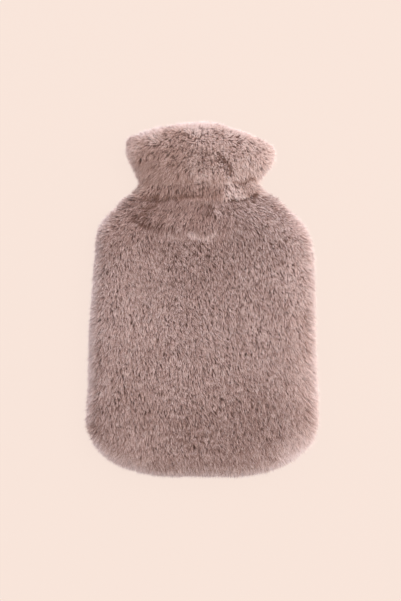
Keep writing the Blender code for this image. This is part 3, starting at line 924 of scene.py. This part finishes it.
# %% Which way each strand bends over
Coat = namedtuple("Coat", "strands_in_lock lock_length lock_width strand_width reach trimmed locks_in_clump")
Lock = namedtuple("Lock", "root down normal depth brushed clump to_clump")
CLUMP_SEED = 71
CLUMP_PULL = 0.28            # how far locks draw together into clumps, where the pile stands
CLUMP_PULL_LYING = 0.06      # the same where it lies
CLUMP_STRAY = 0.6            # how much clumps differ in heading, in strays of their stroke
STRAND_STRAY = 0.35          # how much strands of a lock differ, in the same measure
UPHILL_PRESS = 0.80          # how far pile that is brushed uphill is pressed forward, as a share of the slope
SIDE_PRESS = 0.85            # the same for pile that is brushed across a slope
FLAT_ENOUGH = (0.35, 0.75)   # the upright share of the cloth's normal where that starts, and where it is full
CLOTH_SHARE = 0.15           # how much the cloth's own way down turns the heading
HANG = 0.50                  # how far pile on an upright side hangs down, and so hides the seam
DOWNHILL_LIFT = 0.50         # how much less pile leans that is brushed downhill
DOWNHILL_MOST = -0.6         # the steepest slope that counts there, as a sine


def clump_draws(locks):
    """Two random numbers for each clump: one turns it, and one makes it paler or darker."""
    return np.random.default_rng(CLUMP_SEED).standard_normal((2, locks.clump.max() + 1))


def strand_headings(locks, owner, dice):
    """The way that each strand is brushed, in radians from straight down."""
    lie = locks.brushed
    of_lock = lie.swing + lie.stray * dice.standard_normal(len(lie.swing))
    of_lock += CLUMP_STRAY * lie.stray * clump_draws(locks)[0][locks.clump]
    return np.radians(of_lock[owner] + STRAND_STRAY * lie.stray[owner] * dice.standard_normal(len(owner)))


def bent_over(heading, locks, owner):
    """What each strand grows square to, the way it bends over, and how much less it bends downhill."""
    normal = locks.normal[owner]
    level_part = np.zeros(len(heading))
    wish = np.stack([np.sin(heading), -np.cos(heading), level_part], axis=1)
    side = np.stack([np.cos(heading), np.sin(heading), level_part], axis=1)
    against = UPHILL_PRESS * np.minimum((wish * normal).sum(axis=1), 0.0)
    askew = SIDE_PRESS * soft_step(normal[:, 2], *FLAT_ENOUGH) * (side * normal).sum(axis=1)
    normal = unit(normal - against[:, None] * wish - askew[:, None] * side)
    wish = wish + CLOTH_SHARE * locks.down[owner]
    wish[:, 2] -= HANG * (1 - np.clip(normal[:, 2], 0.0, 1.0))
    slope = (wish * normal).sum(axis=1)
    downhill = np.arcsin(np.clip(-slope, DOWNHILL_MOST, 0.0)) * DOWNHILL_LIFT
    return normal, unit(wish - slope[:, None] * normal), downhill


# %% Strands as narrow blades
SURFACE_LIGHT = 0.46         # how much a strand is lit like the plush's surface and not like a flat blade
UPRIGHT_LEAN = (0.0, 22.0)   # degrees from square to the cloth, at the root and at the tip, of standing pile
LYING_LEAN = (12.0, 54.0)    # the same for lying pile
LEAST_BEND = 0.05            # in radians, as is the next
MOST_LEAN = math.radians(82)
TWIST = 38.0
DRAW_TOGETHER = 0.50         # how far the tips of a lock close up
STRAND_STATIONS = (0.0, 0.5, 1.0)
GUARD_EVERY = 5              # one strand in so many is a guard hair
GUARD_LENGTH = 1.22
GUARD_WIDTH = 0.45
WIDTH_LEAST = 0.75           # the narrowest strand, as a share of its coat's strand width
WIDTH_SPREAD = 0.5
Scatter = namedtuple("Scatter", "lock strand least most")
STAND_SCATTER = Scatter(0.14, 0.10, -0.35, 1.0)
REACH_SCATTER = Scatter(0.11, 0.08, 0.4, 1.12)


def scattered(usual, scatter, owner, dice):
    """A value for each strand, that differs a little from lock to lock and from strand to strand."""
    of_lock = usual + scatter.lock * dice.standard_normal(len(usual))
    of_strand = of_lock[owner] + scatter.strand * dice.standard_normal(len(owner))
    return np.clip(of_strand, scatter.least, scatter.most)


def strand_sides(locks, coat, dice):
    """Each strand as centre line, width direction and light at its stations, with its lock and its width."""
    count = len(locks.root) * coat.strands_in_lock
    owner = np.repeat(np.arange(len(locks.root)), coat.strands_in_lock)
    guard = np.arange(count) % GUARD_EVERY == 0
    lie = locks.brushed
    clumping = CLUMP_PULL_LYING + (CLUMP_PULL - CLUMP_PULL_LYING) * np.clip(lie.stand, 0.0, 1.0)
    to_clump = (locks.to_clump * clumping[:, None])[owner]
    normal, ahead, downhill = bent_over(strand_headings(locks, owner, dice), locks, owner)
    aside = np.cross(normal, ahead)
    offset = dice.standard_normal((count, 2)) * np.array([coat.lock_length, coat.lock_width])
    stand = scattered(lie.stand, STAND_SCATTER, owner, dice)
    lean_start = np.radians(LYING_LEAN[0] + (UPRIGHT_LEAN[0] - LYING_LEAN[0]) * stand)
    lean_end = np.radians(LYING_LEAN[1] + (UPRIGHT_LEAN[1] - LYING_LEAN[1]) * stand) + downhill
    lean_end = np.clip(lean_end, lean_start + LEAST_BEND, MOST_LEAN)
    bend = lean_end - lean_start
    reach = scattered(np.full(len(locks.root), coat.reach), REACH_SCATTER, owner, dice)
    reach = np.where(guard, GUARD_LENGTH * reach, reach) * lie.length[owner]
    length = locks.depth[owner] * reach * bend / (np.sin(lean_end) - np.sin(lean_start))
    twist = np.radians(TWIST) * dice.standard_normal(count)
    sides = []
    for t in STRAND_STATIONS:
        lean = lean_start + bend * t
        forward = length * (np.cos(lean_start) - np.cos(lean)) / bend
        upward = length * (np.sin(lean) - np.sin(lean_start)) / bend
        centre = locks.root[owner] + forward[:, None] * ahead + upward[:, None] * normal
        gather = 1 - DRAW_TOGETHER * t
        centre = centre + (offset[:, :1] * ahead + offset[:, 1:] * aside) * gather + to_clump * t * t
        along_strand = np.sin(lean)[:, None] * ahead + np.cos(lean)[:, None] * normal
        flat = np.cross(aside, along_strand)
        across = np.cos(twist)[:, None] * aside + np.sin(twist)[:, None] * flat
        facing = unit(np.cross(across, along_strand))
        facing = facing * np.where((facing * normal).sum(axis=1) < 0, -1.0, 1.0)[:, None]
        sides.append((centre, across, unit(SURFACE_LIGHT * normal + (1 - SURFACE_LIGHT) * facing)))
    width = coat.strand_width * (WIDTH_LEAST + WIDTH_SPREAD * dice.random(count))
    return owner, guard, sides, width * np.where(guard, GUARD_WIDTH, 1.0)


# %% [markdown]
# ### Trimmed at the edge, and laid down under the hem
#
# A maker shears the pile after sewing, so few hairs reach past the outline, and only in small uneven tufts.
# Here every tip that reaches too far past the pouch's edge is moved back towards it. The collar's hair isn't
# trimmed: where it reaches past the hem it settles on the pile of the pouch, as its own weight makes it do.

# %% Trimming and settling
TRIM = -0.0008               # how far most tips may reach past the pattern's edge
GUARD_TRIM = 0.0015          # the same for guard hairs
TRIM_SPREAD = 0.0016         # how uneven that is from strand to strand
TRIM_SOFTNESS = 0.0015       # tips past the limit crowd up within this
MIDDLE_TRIM = 0.6            # share of the limit that holds for the middle of a strand
TRIM_ZONE = 0.024            # strands further in than this never reach the edge
EDGE_RAGGED = 0.0010         # how far tufts of them stand out along the edge
EDGE_TUFTS = 0.0045          # how wide such tufts are
RAGGED_SEED = 9
COARSE_EDGE = EDGE[::3]
SETTLE_START = -0.001        # past the hem's edge: where the collar's hair starts to settle
SETTLE_END = 0.006           # and where it lies on the pouch's pile
SETTLED_ABOVE = 0.0005       # how high over that pile


def pattern_place(points):
    """Places (x, along) on the pattern, of points in the cover's own frame."""
    return points[:, :2] - np.array([0.0, model_low.y])


def edge_overshoot(points):
    """For each point: how far it lies past the pouch's edge, and the way out there."""
    start = COARSE_EDGE[:-1]
    step = COARSE_EDGE[1:] - start
    length_squared = (step ** 2).sum(axis=1)
    past = np.empty(len(points))
    way_out = np.empty_like(points)
    done = 0
    for block in np.array_split(points, max(1, len(points) // 2000)):
        offset = block[:, None, :] - start[None]
        share = np.clip((offset * step).sum(axis=2) / length_squared, 0.0, 1.0)
        gap = offset - share[..., None] * step
        nearest = (gap ** 2).sum(axis=2).argmin(axis=1)
        rows = np.arange(len(block))
        near_step = step[nearest]
        out = unit(np.stack([near_step[:, 1], -near_step[:, 0]], axis=1))
        span = slice(done, done + len(block))
        past[span] = (gap[rows, nearest] * out).sum(axis=1)
        way_out[span] = out
        done += len(block)
    return past, way_out


def trimmed(points, guard, uneven, share):
    """Points of strands that reach too far past the pouch's edge, moved back towards it as if trimmed."""
    flat = pattern_place(points)
    ragged = EDGE_RAGGED * wander(flat[:, 0], flat[:, 1], EDGE_TUFTS, RAGGED_SEED)
    limit = (np.where(guard, GUARD_TRIM, TRIM) + TRIM_SPREAD * uneven + ragged) * share
    past, way_out = edge_overshoot(flat)
    excess = past - limit
    kept = limit + TRIM_SOFTNESS * (1 - np.exp(-np.maximum(excess, 0.0) / TRIM_SOFTNESS))
    pull = np.where(excess > 0, past - kept, 0.0)
    moved = points.copy()
    moved[:, :2] -= pull[:, None] * way_out
    return moved


def settled(points):
    """Hair of the collar that reaches past the hem, laid down on the pile of the pouch."""
    hem = COLLAR_BY_NAME["hem"].along
    flat = pattern_place(points)
    past = np.flatnonzero(flat[:, 1] < hem - SETTLE_START)
    flat = flat[past]
    share = soft_step(hem - flat[:, 1], SETTLE_START, SETTLE_END)
    rest = front_height(flat[:, 0], flat[:, 1], distance_to(COARSE_EDGE, flat), 0.0) + SETTLED_ABOVE
    laid = points.copy()
    laid[past, 2] += share * np.minimum(rest - points[past, 2], 0.0)
    return laid


# %% [markdown]
# ### Pale and dark strands
#
# No two neighbours have the same tone: clumps differ a little, locks more and single strands most, and a
# stroke's mottle says how much. Towards the outline the pile is painted paler, a painted highlight for
# looking along the tips and against the light, and the collar is painted paler where its cloth turns away. A
# line of the table paints its shade, or on a ridge its highlight, on a strand by where its tip is, since that
# is the part that one sees.

# %% Tones of the strands
LOCK_TONES = 0.55            # how much locks differ in tone
STRAND_TONES = 1.38          # how much strands in a lock differ
CLUMP_TONES = 0.18           # how much clumps differ
LYING_MOTTLE = 0.80          # share of the locks' and clumps' differences where the pile lies
STANDING_MOTTLE = 1.20       # and where it stands
GUARD_TONE = 1.3
EDGE_PAINTED_LIGHT = 2.10            # painted light: how much paler the pile is painted at the pouch's edge, for looking against the light
EDGE_LIGHT_BAND = 0.0055
RIM_PAINTED_LIGHT = 1.60             # painted light, the same where the collar turns away
RIM_LIGHT_FADE = 1.5
TONE_STEP = 0.16             # one tone is this far across the colour chart
MIDDLE_TONE = 0.5            # where a strand of no special tone lies on it
TONE_LIMITS = (0.02, 0.98)
LOWEST = 0.0003              # no strand goes lower than this above the floor


def strand_tones(locks, owner, guard, dice):
    """How pale each strand is: from its stroke's tone, which holds painted shade and light, from its lock and
    its clump, from chance, and more for guard hairs.
    """
    lie = locks.brushed
    mottle = LYING_MOTTLE + (STANDING_MOTTLE - LYING_MOTTLE) * np.clip(lie.stand, 0.0, 1.0)
    of_lock = LOCK_TONES * dice.standard_normal(len(lie.tone))
    mottle = mottle * (of_lock + CLUMP_TONES * clump_draws(locks)[1][locks.clump])
    lock_tone = lie.tone + mottle * lie.mottle
    of_strand = STRAND_TONES * lie.mottle[owner] * dice.standard_normal(len(owner))
    return lock_tone[owner] + of_strand + GUARD_TONE * guard


def trimmed_coat(locks, owner, guard, middle, tip, dice):
    """Middles and tips of the pouch's strands after trimming, and how much painted edge light each gets, in
    tones.
    """
    near = np.flatnonzero(distance_to(COARSE_EDGE, pattern_place(locks.root))[owner] < TRIM_ZONE)
    uneven = dice.standard_normal(len(near))
    middle[near] = trimmed(middle[near], guard[near], uneven, MIDDLE_TRIM)
    tip[near] = trimmed(tip[near], guard[near], uneven, 1.0)
    # painted edge light: strands are toned paler the nearer their tips come to the outline
    paler = np.zeros(len(owner))
    paler[near] = EDGE_PAINTED_LIGHT * np.exp(-(distance_to(COARSE_EDGE, pattern_place(tip[near])) / EDGE_LIGHT_BAND) ** 2)
    return middle, tip, paler


def grow_strands(locks, coat, partings, dice):
    """Corners and shading normals of every strand of the locks, and its place across the colour chart."""
    owner, guard, sides, width = strand_sides(locks, coat, dice)
    (root, _, root_light), (middle, middle_across, middle_light), (tip, _, tip_light) = sides
    if coat.trimmed:
        middle, tip, paler = trimmed_coat(locks, owner, guard, middle, tip, dice)
    else:
        middle = settled(middle)
        tip = settled(tip)
        # painted rim light: the collar's strands are toned paler where its cloth turns away from facing up
        paler = RIM_PAINTED_LIGHT * np.clip(1 - locks.normal[:, 2], 0.0, 1.0)[owner] ** RIM_LIGHT_FADE
    half = width[:, None] / 2
    corners = np.stack([root, middle - middle_across * half, middle + middle_across * half, tip], axis=1)
    corners[..., 2] = np.maximum(corners[..., 2], LOWEST)
    lights = np.stack([root_light, middle_light, middle_light, tip_light], axis=1)
    # the strand's own tone, with the painted edge and rim light added
    tone = strand_tones(locks, owner, guard, dice) + paler
    seen = pattern_place(root + (tip - root) * SEEN_SHARE)
    # painted shade and painted highlight of the lines, by where each strand is seen
    tone -= line_shade_and_highlight(partings, seen[:, 0], seen[:, 1])
    return corners, lights, np.clip(MIDDLE_TONE + TONE_STEP * tone, *TONE_LIMITS)


# %% Strands into one mesh
TONE_WIDTH = 0.006           # width of a strand on the colour chart
CHART_ENDS = (0.01, 0.99)    # root and tip on the colour chart
CORNER_SHIFTS = (0.0, -0.5, 0.5, 0.0)    # of a strand's corners on the chart, in widths


def strand_mesh(name, corners, lights, chart_x):
    """One mesh of blades: each is a pointed face from its root and a pointed face to its tip."""
    count = len(corners)
    start = (np.arange(count) * 4)[:, None]
    lower = start + np.array([0, 2, 1])
    upper = start + np.array([1, 2, 3])
    around = np.cross(corners[:, 2] - corners[:, 1], corners[:, 3] - corners[:, 1])
    inward = (around * lights[:, 1]).sum(axis=1) < 0
    lower[inward] = lower[inward][:, ::-1]
    upper[inward] = upper[inward][:, ::-1]
    loops = np.concatenate([lower, upper], axis=1)
    mesh = bpy.data.meshes.new(name)
    mesh.vertices.add(count * 4)
    mesh.vertices.foreach_set("co", corners.astype(np.float32).ravel())
    mesh.loops.add(count * 6)
    mesh.loops.foreach_set("vertex_index", loops.astype(np.int32).ravel())
    mesh.polygons.add(count * 2)
    mesh.polygons.foreach_set("loop_start", np.arange(0, count * 6, 3).astype(np.int32))
    mesh.polygons.foreach_set("loop_total", np.full(count * 2, 3, np.int32))
    mesh.update(calc_edges=True)
    chart = np.empty((count, 4, 2), np.float32)
    chart[:, :, 0] = chart_x[:, None] + np.array(CORNER_SHIFTS) * TONE_WIDTH
    halfway = sum(CHART_ENDS) / 2
    chart[:, :, 1] = np.array([CHART_ENDS[0], halfway, halfway, CHART_ENDS[1]])
    layer = mesh.uv_layers.new(name="OFBake")
    layer.uv.foreach_set("vector", chart.reshape(-1, 2)[loops.ravel()].ravel())
    mesh.shade_smooth()
    soft = mesh.attributes.new("custom_normal", "FLOAT_VECTOR", "POINT")
    soft.data.foreach_set("vector", lights.astype(np.float32).ravel())
    mesh.update()
    piece = bpy.data.objects.new(name, mesh)
    bpy.context.scene.collection.objects.link(piece)
    print(name, "has", count, "strands,", count * 2, "triangles")
    return piece


# %% [markdown]
# ## Colour of the pile
#
# A strand's colour depends on only two things: how far it is from its root, and whether it is one of the
# dark or the pale ones. So every strand is laid on a small colour chart. Across the chart the strands go from
# dark to pale, and up the chart they go from root to tip. A node group turns a place on the chart into a
# colour and a roughness, and each material sets its own shades. Because the place is stored on the mesh, the
# colours stay with the pile wherever the model is used.

# %% A node group for plush colours
SHADE_POWERS = (1.0, 1.28, 1.40)     # of red, green and blue: dark strands are browner, pale ones greyer
ROOT_FADE = 2.2              # one over this is how far up the root's shade reaches
TIP_START = 0.45             # how far up the tip's shade starts
TIP_GROWTH = 1.8
FUZZ_START = 0.72            # strands paler than this turn to the fuzz's shade towards their tips
FUZZ_GROWTH = 3.0
ROOT_ROUGHNESS = 0.78
TIP_ROUGHNESS_CHANGE = -0.18


def new_group(name, inputs, outputs):
    """An empty shader node group with named sockets, and its two end nodes."""
    group = bpy.data.node_groups.new(name, "ShaderNodeTree")
    for label, kind, value in inputs:
        socket = group.interface.new_socket(name=label, in_out="INPUT", socket_type=kind)
        if value is not None:
            socket.default_value = value
    for label, kind in outputs:
        group.interface.new_socket(name=label, in_out="OUTPUT", socket_type=kind)
    start = group.nodes.new("NodeGroupInput")
    end = group.nodes.new("NodeGroupOutput")
    return group, start, end


def math_node(group, operation, first, second, clamp=False):
    """A Math node fed by sockets or numbers; gives its output."""
    node = group.nodes.new("ShaderNodeMath")
    node.operation = operation
    node.use_clamp = clamp
    for socket, value in zip(node.inputs, (first, second)):
        if isinstance(value, (int, float)):
            socket.default_value = value
        else:
            group.links.new(value, socket)
    return node.outputs[0]


def mix_colours(group, factor, first, second, blend="MIX"):
    """A colour Mix node; gives its output."""
    node = group.nodes.new("ShaderNodeMix")
    node.data_type = "RGBA"
    node.blend_type = blend
    for number, value in ((0, factor), (MIX_FIRST, first), (MIX_SECOND, second)):
        if isinstance(value, (int, float, tuple)):
            node.inputs[number].default_value = value
        else:
            group.links.new(value, node.inputs[number])
    return node.outputs[MIX_RESULT]


def plush_group():
    """Colour and roughness of a strand from its place on the chart."""
    group, start, end = new_group(
        "plush_strand",
        [
            ("Chart", "NodeSocketVector", None),
            ("Root", "NodeSocketColor", (0.10, 0.06, 0.05, 1.0)),
            ("Middle", "NodeSocketColor", (0.35, 0.22, 0.20, 1.0)),
            ("Tip", "NodeSocketColor", (0.60, 0.45, 0.40, 1.0)),
            ("Fuzz", "NodeSocketColor", (0.80, 0.70, 0.70, 1.0)),
            ("Contrast", "NodeSocketFloat", 0.6),
        ],
        [("Color", "NodeSocketColor"), ("Roughness", "NodeSocketFloat")],
    )
    split = group.nodes.new("ShaderNodeSeparateXYZ")
    group.links.new(start.outputs["Chart"], split.inputs[0])
    pale = split.outputs["X"]
    up = split.outputs["Y"]
    lower = math_node(group, "MULTIPLY", up, ROOT_FADE, clamp=True)
    upper = math_node(group, "SUBTRACT", up, TIP_START)
    upper = math_node(group, "MULTIPLY", upper, TIP_GROWTH, clamp=True)
    base = mix_colours(group, lower, start.outputs["Root"], start.outputs["Middle"])
    base = mix_colours(group, upper, base, start.outputs["Tip"])
    shade = math_node(group, "SUBTRACT", pale, MIDDLE_TONE)
    shade = math_node(group, "MULTIPLY", shade, start.outputs["Contrast"])
    shade = math_node(group, "ADD", shade, 1.0)
    tint = group.nodes.new("ShaderNodeCombineColor")
    for socket, power in zip(tint.inputs, SHADE_POWERS):
        group.links.new(math_node(group, "POWER", shade, power), socket)
    colour = mix_colours(group, 1.0, base, tint.outputs[0], blend="MULTIPLY")
    palest = math_node(group, "SUBTRACT", pale, FUZZ_START)
    palest = math_node(group, "MULTIPLY", palest, FUZZ_GROWTH, clamp=True)
    palest = math_node(group, "MULTIPLY", palest, up, clamp=True)
    colour = mix_colours(group, palest, colour, start.outputs["Fuzz"])
    rough = math_node(group, "MULTIPLY", up, TIP_ROUGHNESS_CHANGE)
    rough = math_node(group, "ADD", rough, ROOT_ROUGHNESS)
    group.links.new(colour, end.inputs["Color"])
    group.links.new(rough, end.inputs["Roughness"])
    return group


PLUSH_GROUP = plush_group()
print("the node group", PLUSH_GROUP.name, "has", len(PLUSH_GROUP.nodes), "nodes")

# %% Plush materials
SHEEN = 0.45
SHEEN_ROUGHNESS = 0.45
SHEEN_TINT = (1.0, 0.95, 0.95)
FIBRE_GLOSS = 0.25
FUZZ = (0.75, 0.66, 0.67)
Plush = namedtuple("Plush", "name root middle tip contrast")
PLUSHES = [
    Plush("front_plush", (0.160, 0.081, 0.069), (0.392, 0.246, 0.224), (0.685, 0.497, 0.463), 1.35),
    Plush("back_plush", (0.160, 0.094, 0.083), (0.410, 0.262, 0.240), (0.660, 0.470, 0.436), 1.2),
    Plush("collar_plush", (0.145, 0.082, 0.074), (0.420, 0.262, 0.232), (0.725, 0.525, 0.480), 1.30),
]


def plush_material(plush):
    """Pile, coloured from the chart, with the soft sheen of fine fibre."""
    material = bpy.data.materials.new(plush.name)
    material.use_nodes = True
    tree = material.node_tree
    shader = tree.nodes["Principled BSDF"]
    chart = tree.nodes.new("ShaderNodeUVMap")
    chart.uv_map = "OFBake"
    look = tree.nodes.new("ShaderNodeGroup")
    look.node_tree = PLUSH_GROUP
    look.inputs["Root"].default_value = (*plush.root, 1.0)
    look.inputs["Middle"].default_value = (*plush.middle, 1.0)
    look.inputs["Tip"].default_value = (*plush.tip, 1.0)
    look.inputs["Fuzz"].default_value = (*FUZZ, 1.0)
    look.inputs["Contrast"].default_value = plush.contrast
    tree.links.new(chart.outputs["UV"], look.inputs["Chart"])
    tree.links.new(look.outputs["Color"], shader.inputs["Base Color"])
    tree.links.new(look.outputs["Roughness"], shader.inputs["Roughness"])
    shader.inputs["Specular IOR Level"].default_value = FIBRE_GLOSS
    shader.inputs["Sheen Weight"].default_value = SHEEN
    shader.inputs["Sheen Roughness"].default_value = SHEEN_ROUGHNESS
    shader.inputs["Sheen Tint"].default_value = (*SHEEN_TINT, 1.0)
    return material


PLUSH_MATERIALS = {plush.name: plush_material(plush) for plush in PLUSHES}
print("plush materials:", ", ".join(PLUSH_MATERIALS))

# %% Backing material
BACKING_COLOUR = (0.17, 0.10, 0.088)
BACKING_LIGHT = (0.30, 0.19, 0.17)
STITCHES_PER_METRE = 620.0
PATCHES_PER_METRE = 60.0     # of uneven shade
STITCH_HEIGHT = 0.0004
KNIT_GLOSS = 0.2


def backing_material():
    """Knitted backing: fine wales and courses, a little uneven."""
    material = bpy.data.materials.new("knitted_backing")
    material.use_nodes = True
    tree = material.node_tree
    shader = tree.nodes["Principled BSDF"]
    place = tree.nodes.new("ShaderNodeTexCoord")
    wales = tree.nodes.new("ShaderNodeTexWave")
    wales.bands_direction = "X"
    wales.inputs["Scale"].default_value = STITCHES_PER_METRE / 2
    courses = tree.nodes.new("ShaderNodeTexWave")
    courses.bands_direction = "Y"
    courses.inputs["Scale"].default_value = STITCHES_PER_METRE / 2
    patches = tree.nodes.new("ShaderNodeTexNoise")
    patches.inputs["Scale"].default_value = PATCHES_PER_METRE
    for node in (wales, courses, patches):
        tree.links.new(place.outputs["Object"], node.inputs["Vector"])
    knit = math_node(tree, "MULTIPLY", wales.outputs["Fac"], courses.outputs["Fac"])
    shade = math_node(tree, "MULTIPLY", knit, patches.outputs["Fac"], clamp=True)
    colour = mix_colours(tree, shade, (*BACKING_COLOUR, 1.0), (*BACKING_LIGHT, 1.0))
    bump = tree.nodes.new("ShaderNodeBump")
    bump.inputs["Distance"].default_value = STITCH_HEIGHT
    bump.inputs["Strength"].default_value = 0.6
    tree.links.new(knit, bump.inputs["Height"])
    tree.links.new(bump.outputs["Normal"], shader.inputs["Normal"])
    tree.links.new(colour, shader.inputs["Base Color"])
    shader.inputs["Roughness"].default_value = MATT
    shader.inputs["Specular IOR Level"].default_value = KNIT_GLOSS
    return material


BACKING_MATERIAL = backing_material()
for cloth in (front_cloth, back_cloth, collar_cloth):
    cloth.data.materials.append(BACKING_MATERIAL)
print("knitted backing on three cloths")

# %% [markdown]
# ## Pile on every piece
#
# Each cloth gets its own pile, in a few meshes that stay light enough to handle. Locks are spread by the
# area of the outer skin, because the tips spread out over an edge or a roll. Few are needed under the cover,
# where the pile is pressed flat on the floor, and none where the collar hides the neck of the pouch.

# %% Grow the pile
Pile = namedtuple("Pile", "name skins strokes partings plush pieces locks coat seed")
PILES = [
    Pile("front_pile", front_skins, POUCH_STROKES, POUCH_PARTINGS, "front_plush", 3, 31300,
         Coat(3, 0.00035, 0.00012, 0.00040, 0.92, True, 8), 11),
    Pile("back_pile", back_skins, POUCH_STROKES, [], "back_plush", 1, 14000,
         Coat(5, 0.00090, 0.00050, 0.00070, 0.90, True, 8), 23),
    Pile("collar_pile", collar_skins, COLLAR_STROKES, COLLAR_PARTINGS, "collar_plush", 2, 20000,
         Coat(3, 0.00045, 0.00018, 0.00044, 0.84, False, 24), 37),
]
HIDDEN_ALONG = 0.285         # the collar hides the pouch above this
UNDERSIDE_SHARE = 0.35       # locks under the cover, against locks elsewhere
PRESSED_BELOW = 0.004


def lock_areas(pile):
    """How much of the pile each cell of the skin earns."""
    tips = pile.skins.tips
    areas = cell_areas(tips)
    centre = (tips[1:, 1:] + tips[:-1, :-1]) / 2
    areas = np.where(centre[..., 2] < PRESSED_BELOW, areas * UNDERSIDE_SHARE, areas)
    if pile.name != "collar_pile":
        areas = np.where(centre[..., 1] - model_low.y > HIDDEN_ALONG, 0.0, areas)
    return areas


def clump_centres(pile):
    """A search tree of the clumps' centres, which all meshes of one pile share."""
    dice = np.random.default_rng(pile.seed + CLUMP_SEED)
    places = pick_places(lock_areas(pile), pile.locks * pile.pieces // pile.coat.locks_in_clump, dice)
    centres = read_grid(pile.skins.roots, places)
    tree = KDTree(len(centres))
    for number, centre in enumerate(centres):
        tree.insert(centre, number)
    tree.balance()
    return tree, centres


def locks_on(pile, clumps, dice):
    """Locks scattered over a pile's cloth, brushed by its strokes."""
    skins = pile.skins
    places = pick_places(lock_areas(pile), pile.locks, dice)
    tree, centres = clumps
    down, normal = grid_directions(skins.tips)
    root = read_grid(skins.roots, places)
    tip = read_grid(skins.tips, places)
    depth = np.linalg.norm(tip - root, axis=1)
    normal = unit(read_grid(normal, places))
    inward = (normal * (tip - root)).sum(axis=1) < 0
    normal[inward] *= -1
    lie = brushed(pile.strokes, pile.partings, tip[:, 0], tip[:, 1] - model_low.y)
    way_down = unit(read_grid(down, places))
    if pile.name == "collar_pile":
        way_down = -way_down
    clump = np.array([tree.find(place)[1] for place in root])
    to_clump = centres[clump] - root
    to_clump -= (to_clump * normal).sum(axis=1)[:, None] * normal
    return Lock(root, way_down, normal, depth, lie, clump, to_clump)


pile_pieces = {}
for pile in PILES:
    pile_pieces[pile.name] = []
    clumps = clump_centres(pile)
    for number in range(pile.pieces):
        dice = np.random.default_rng(pile.seed + number)
        corners, lights, chart_x = grow_strands(locks_on(pile, clumps, dice), pile.coat, pile.partings, dice)
        piece = strand_mesh(f"{pile.name}_{number + 1}", corners, lights, chart_x)
        piece.data.materials.append(PLUSH_MATERIALS[pile.plush])
        pile_pieces[pile.name].append(piece)

# %% [markdown]
# ## Putting the pieces in place
#
# Every cloth and its pile are hung on the body named root, and the part of the model that each of them stands
# for is hidden.

# %% Hang each piece on the body and hide its part
Cut = namedtuple("Cut", "cloth pile node slot width length area rests_on")
CUTS = [
    Cut(front_cloth, "front_pile", "front_panel", "plush_front", 0.250, 0.300, 0.068, ["back_backing"]),
    Cut(back_cloth, "back_pile", "back_panel", "plush_back", 0.250, 0.300, 0.068, ["floor"]),
    Cut(collar_cloth, "collar_pile", "collar", "plush_collar", 0.330, 0.140, 0.044, ["back_backing"]),
]
for cut in CUTS:
    for piece in [cut.cloth, *pile_pieces[cut.pile]]:
        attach(piece, "root")
        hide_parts(cut.node)
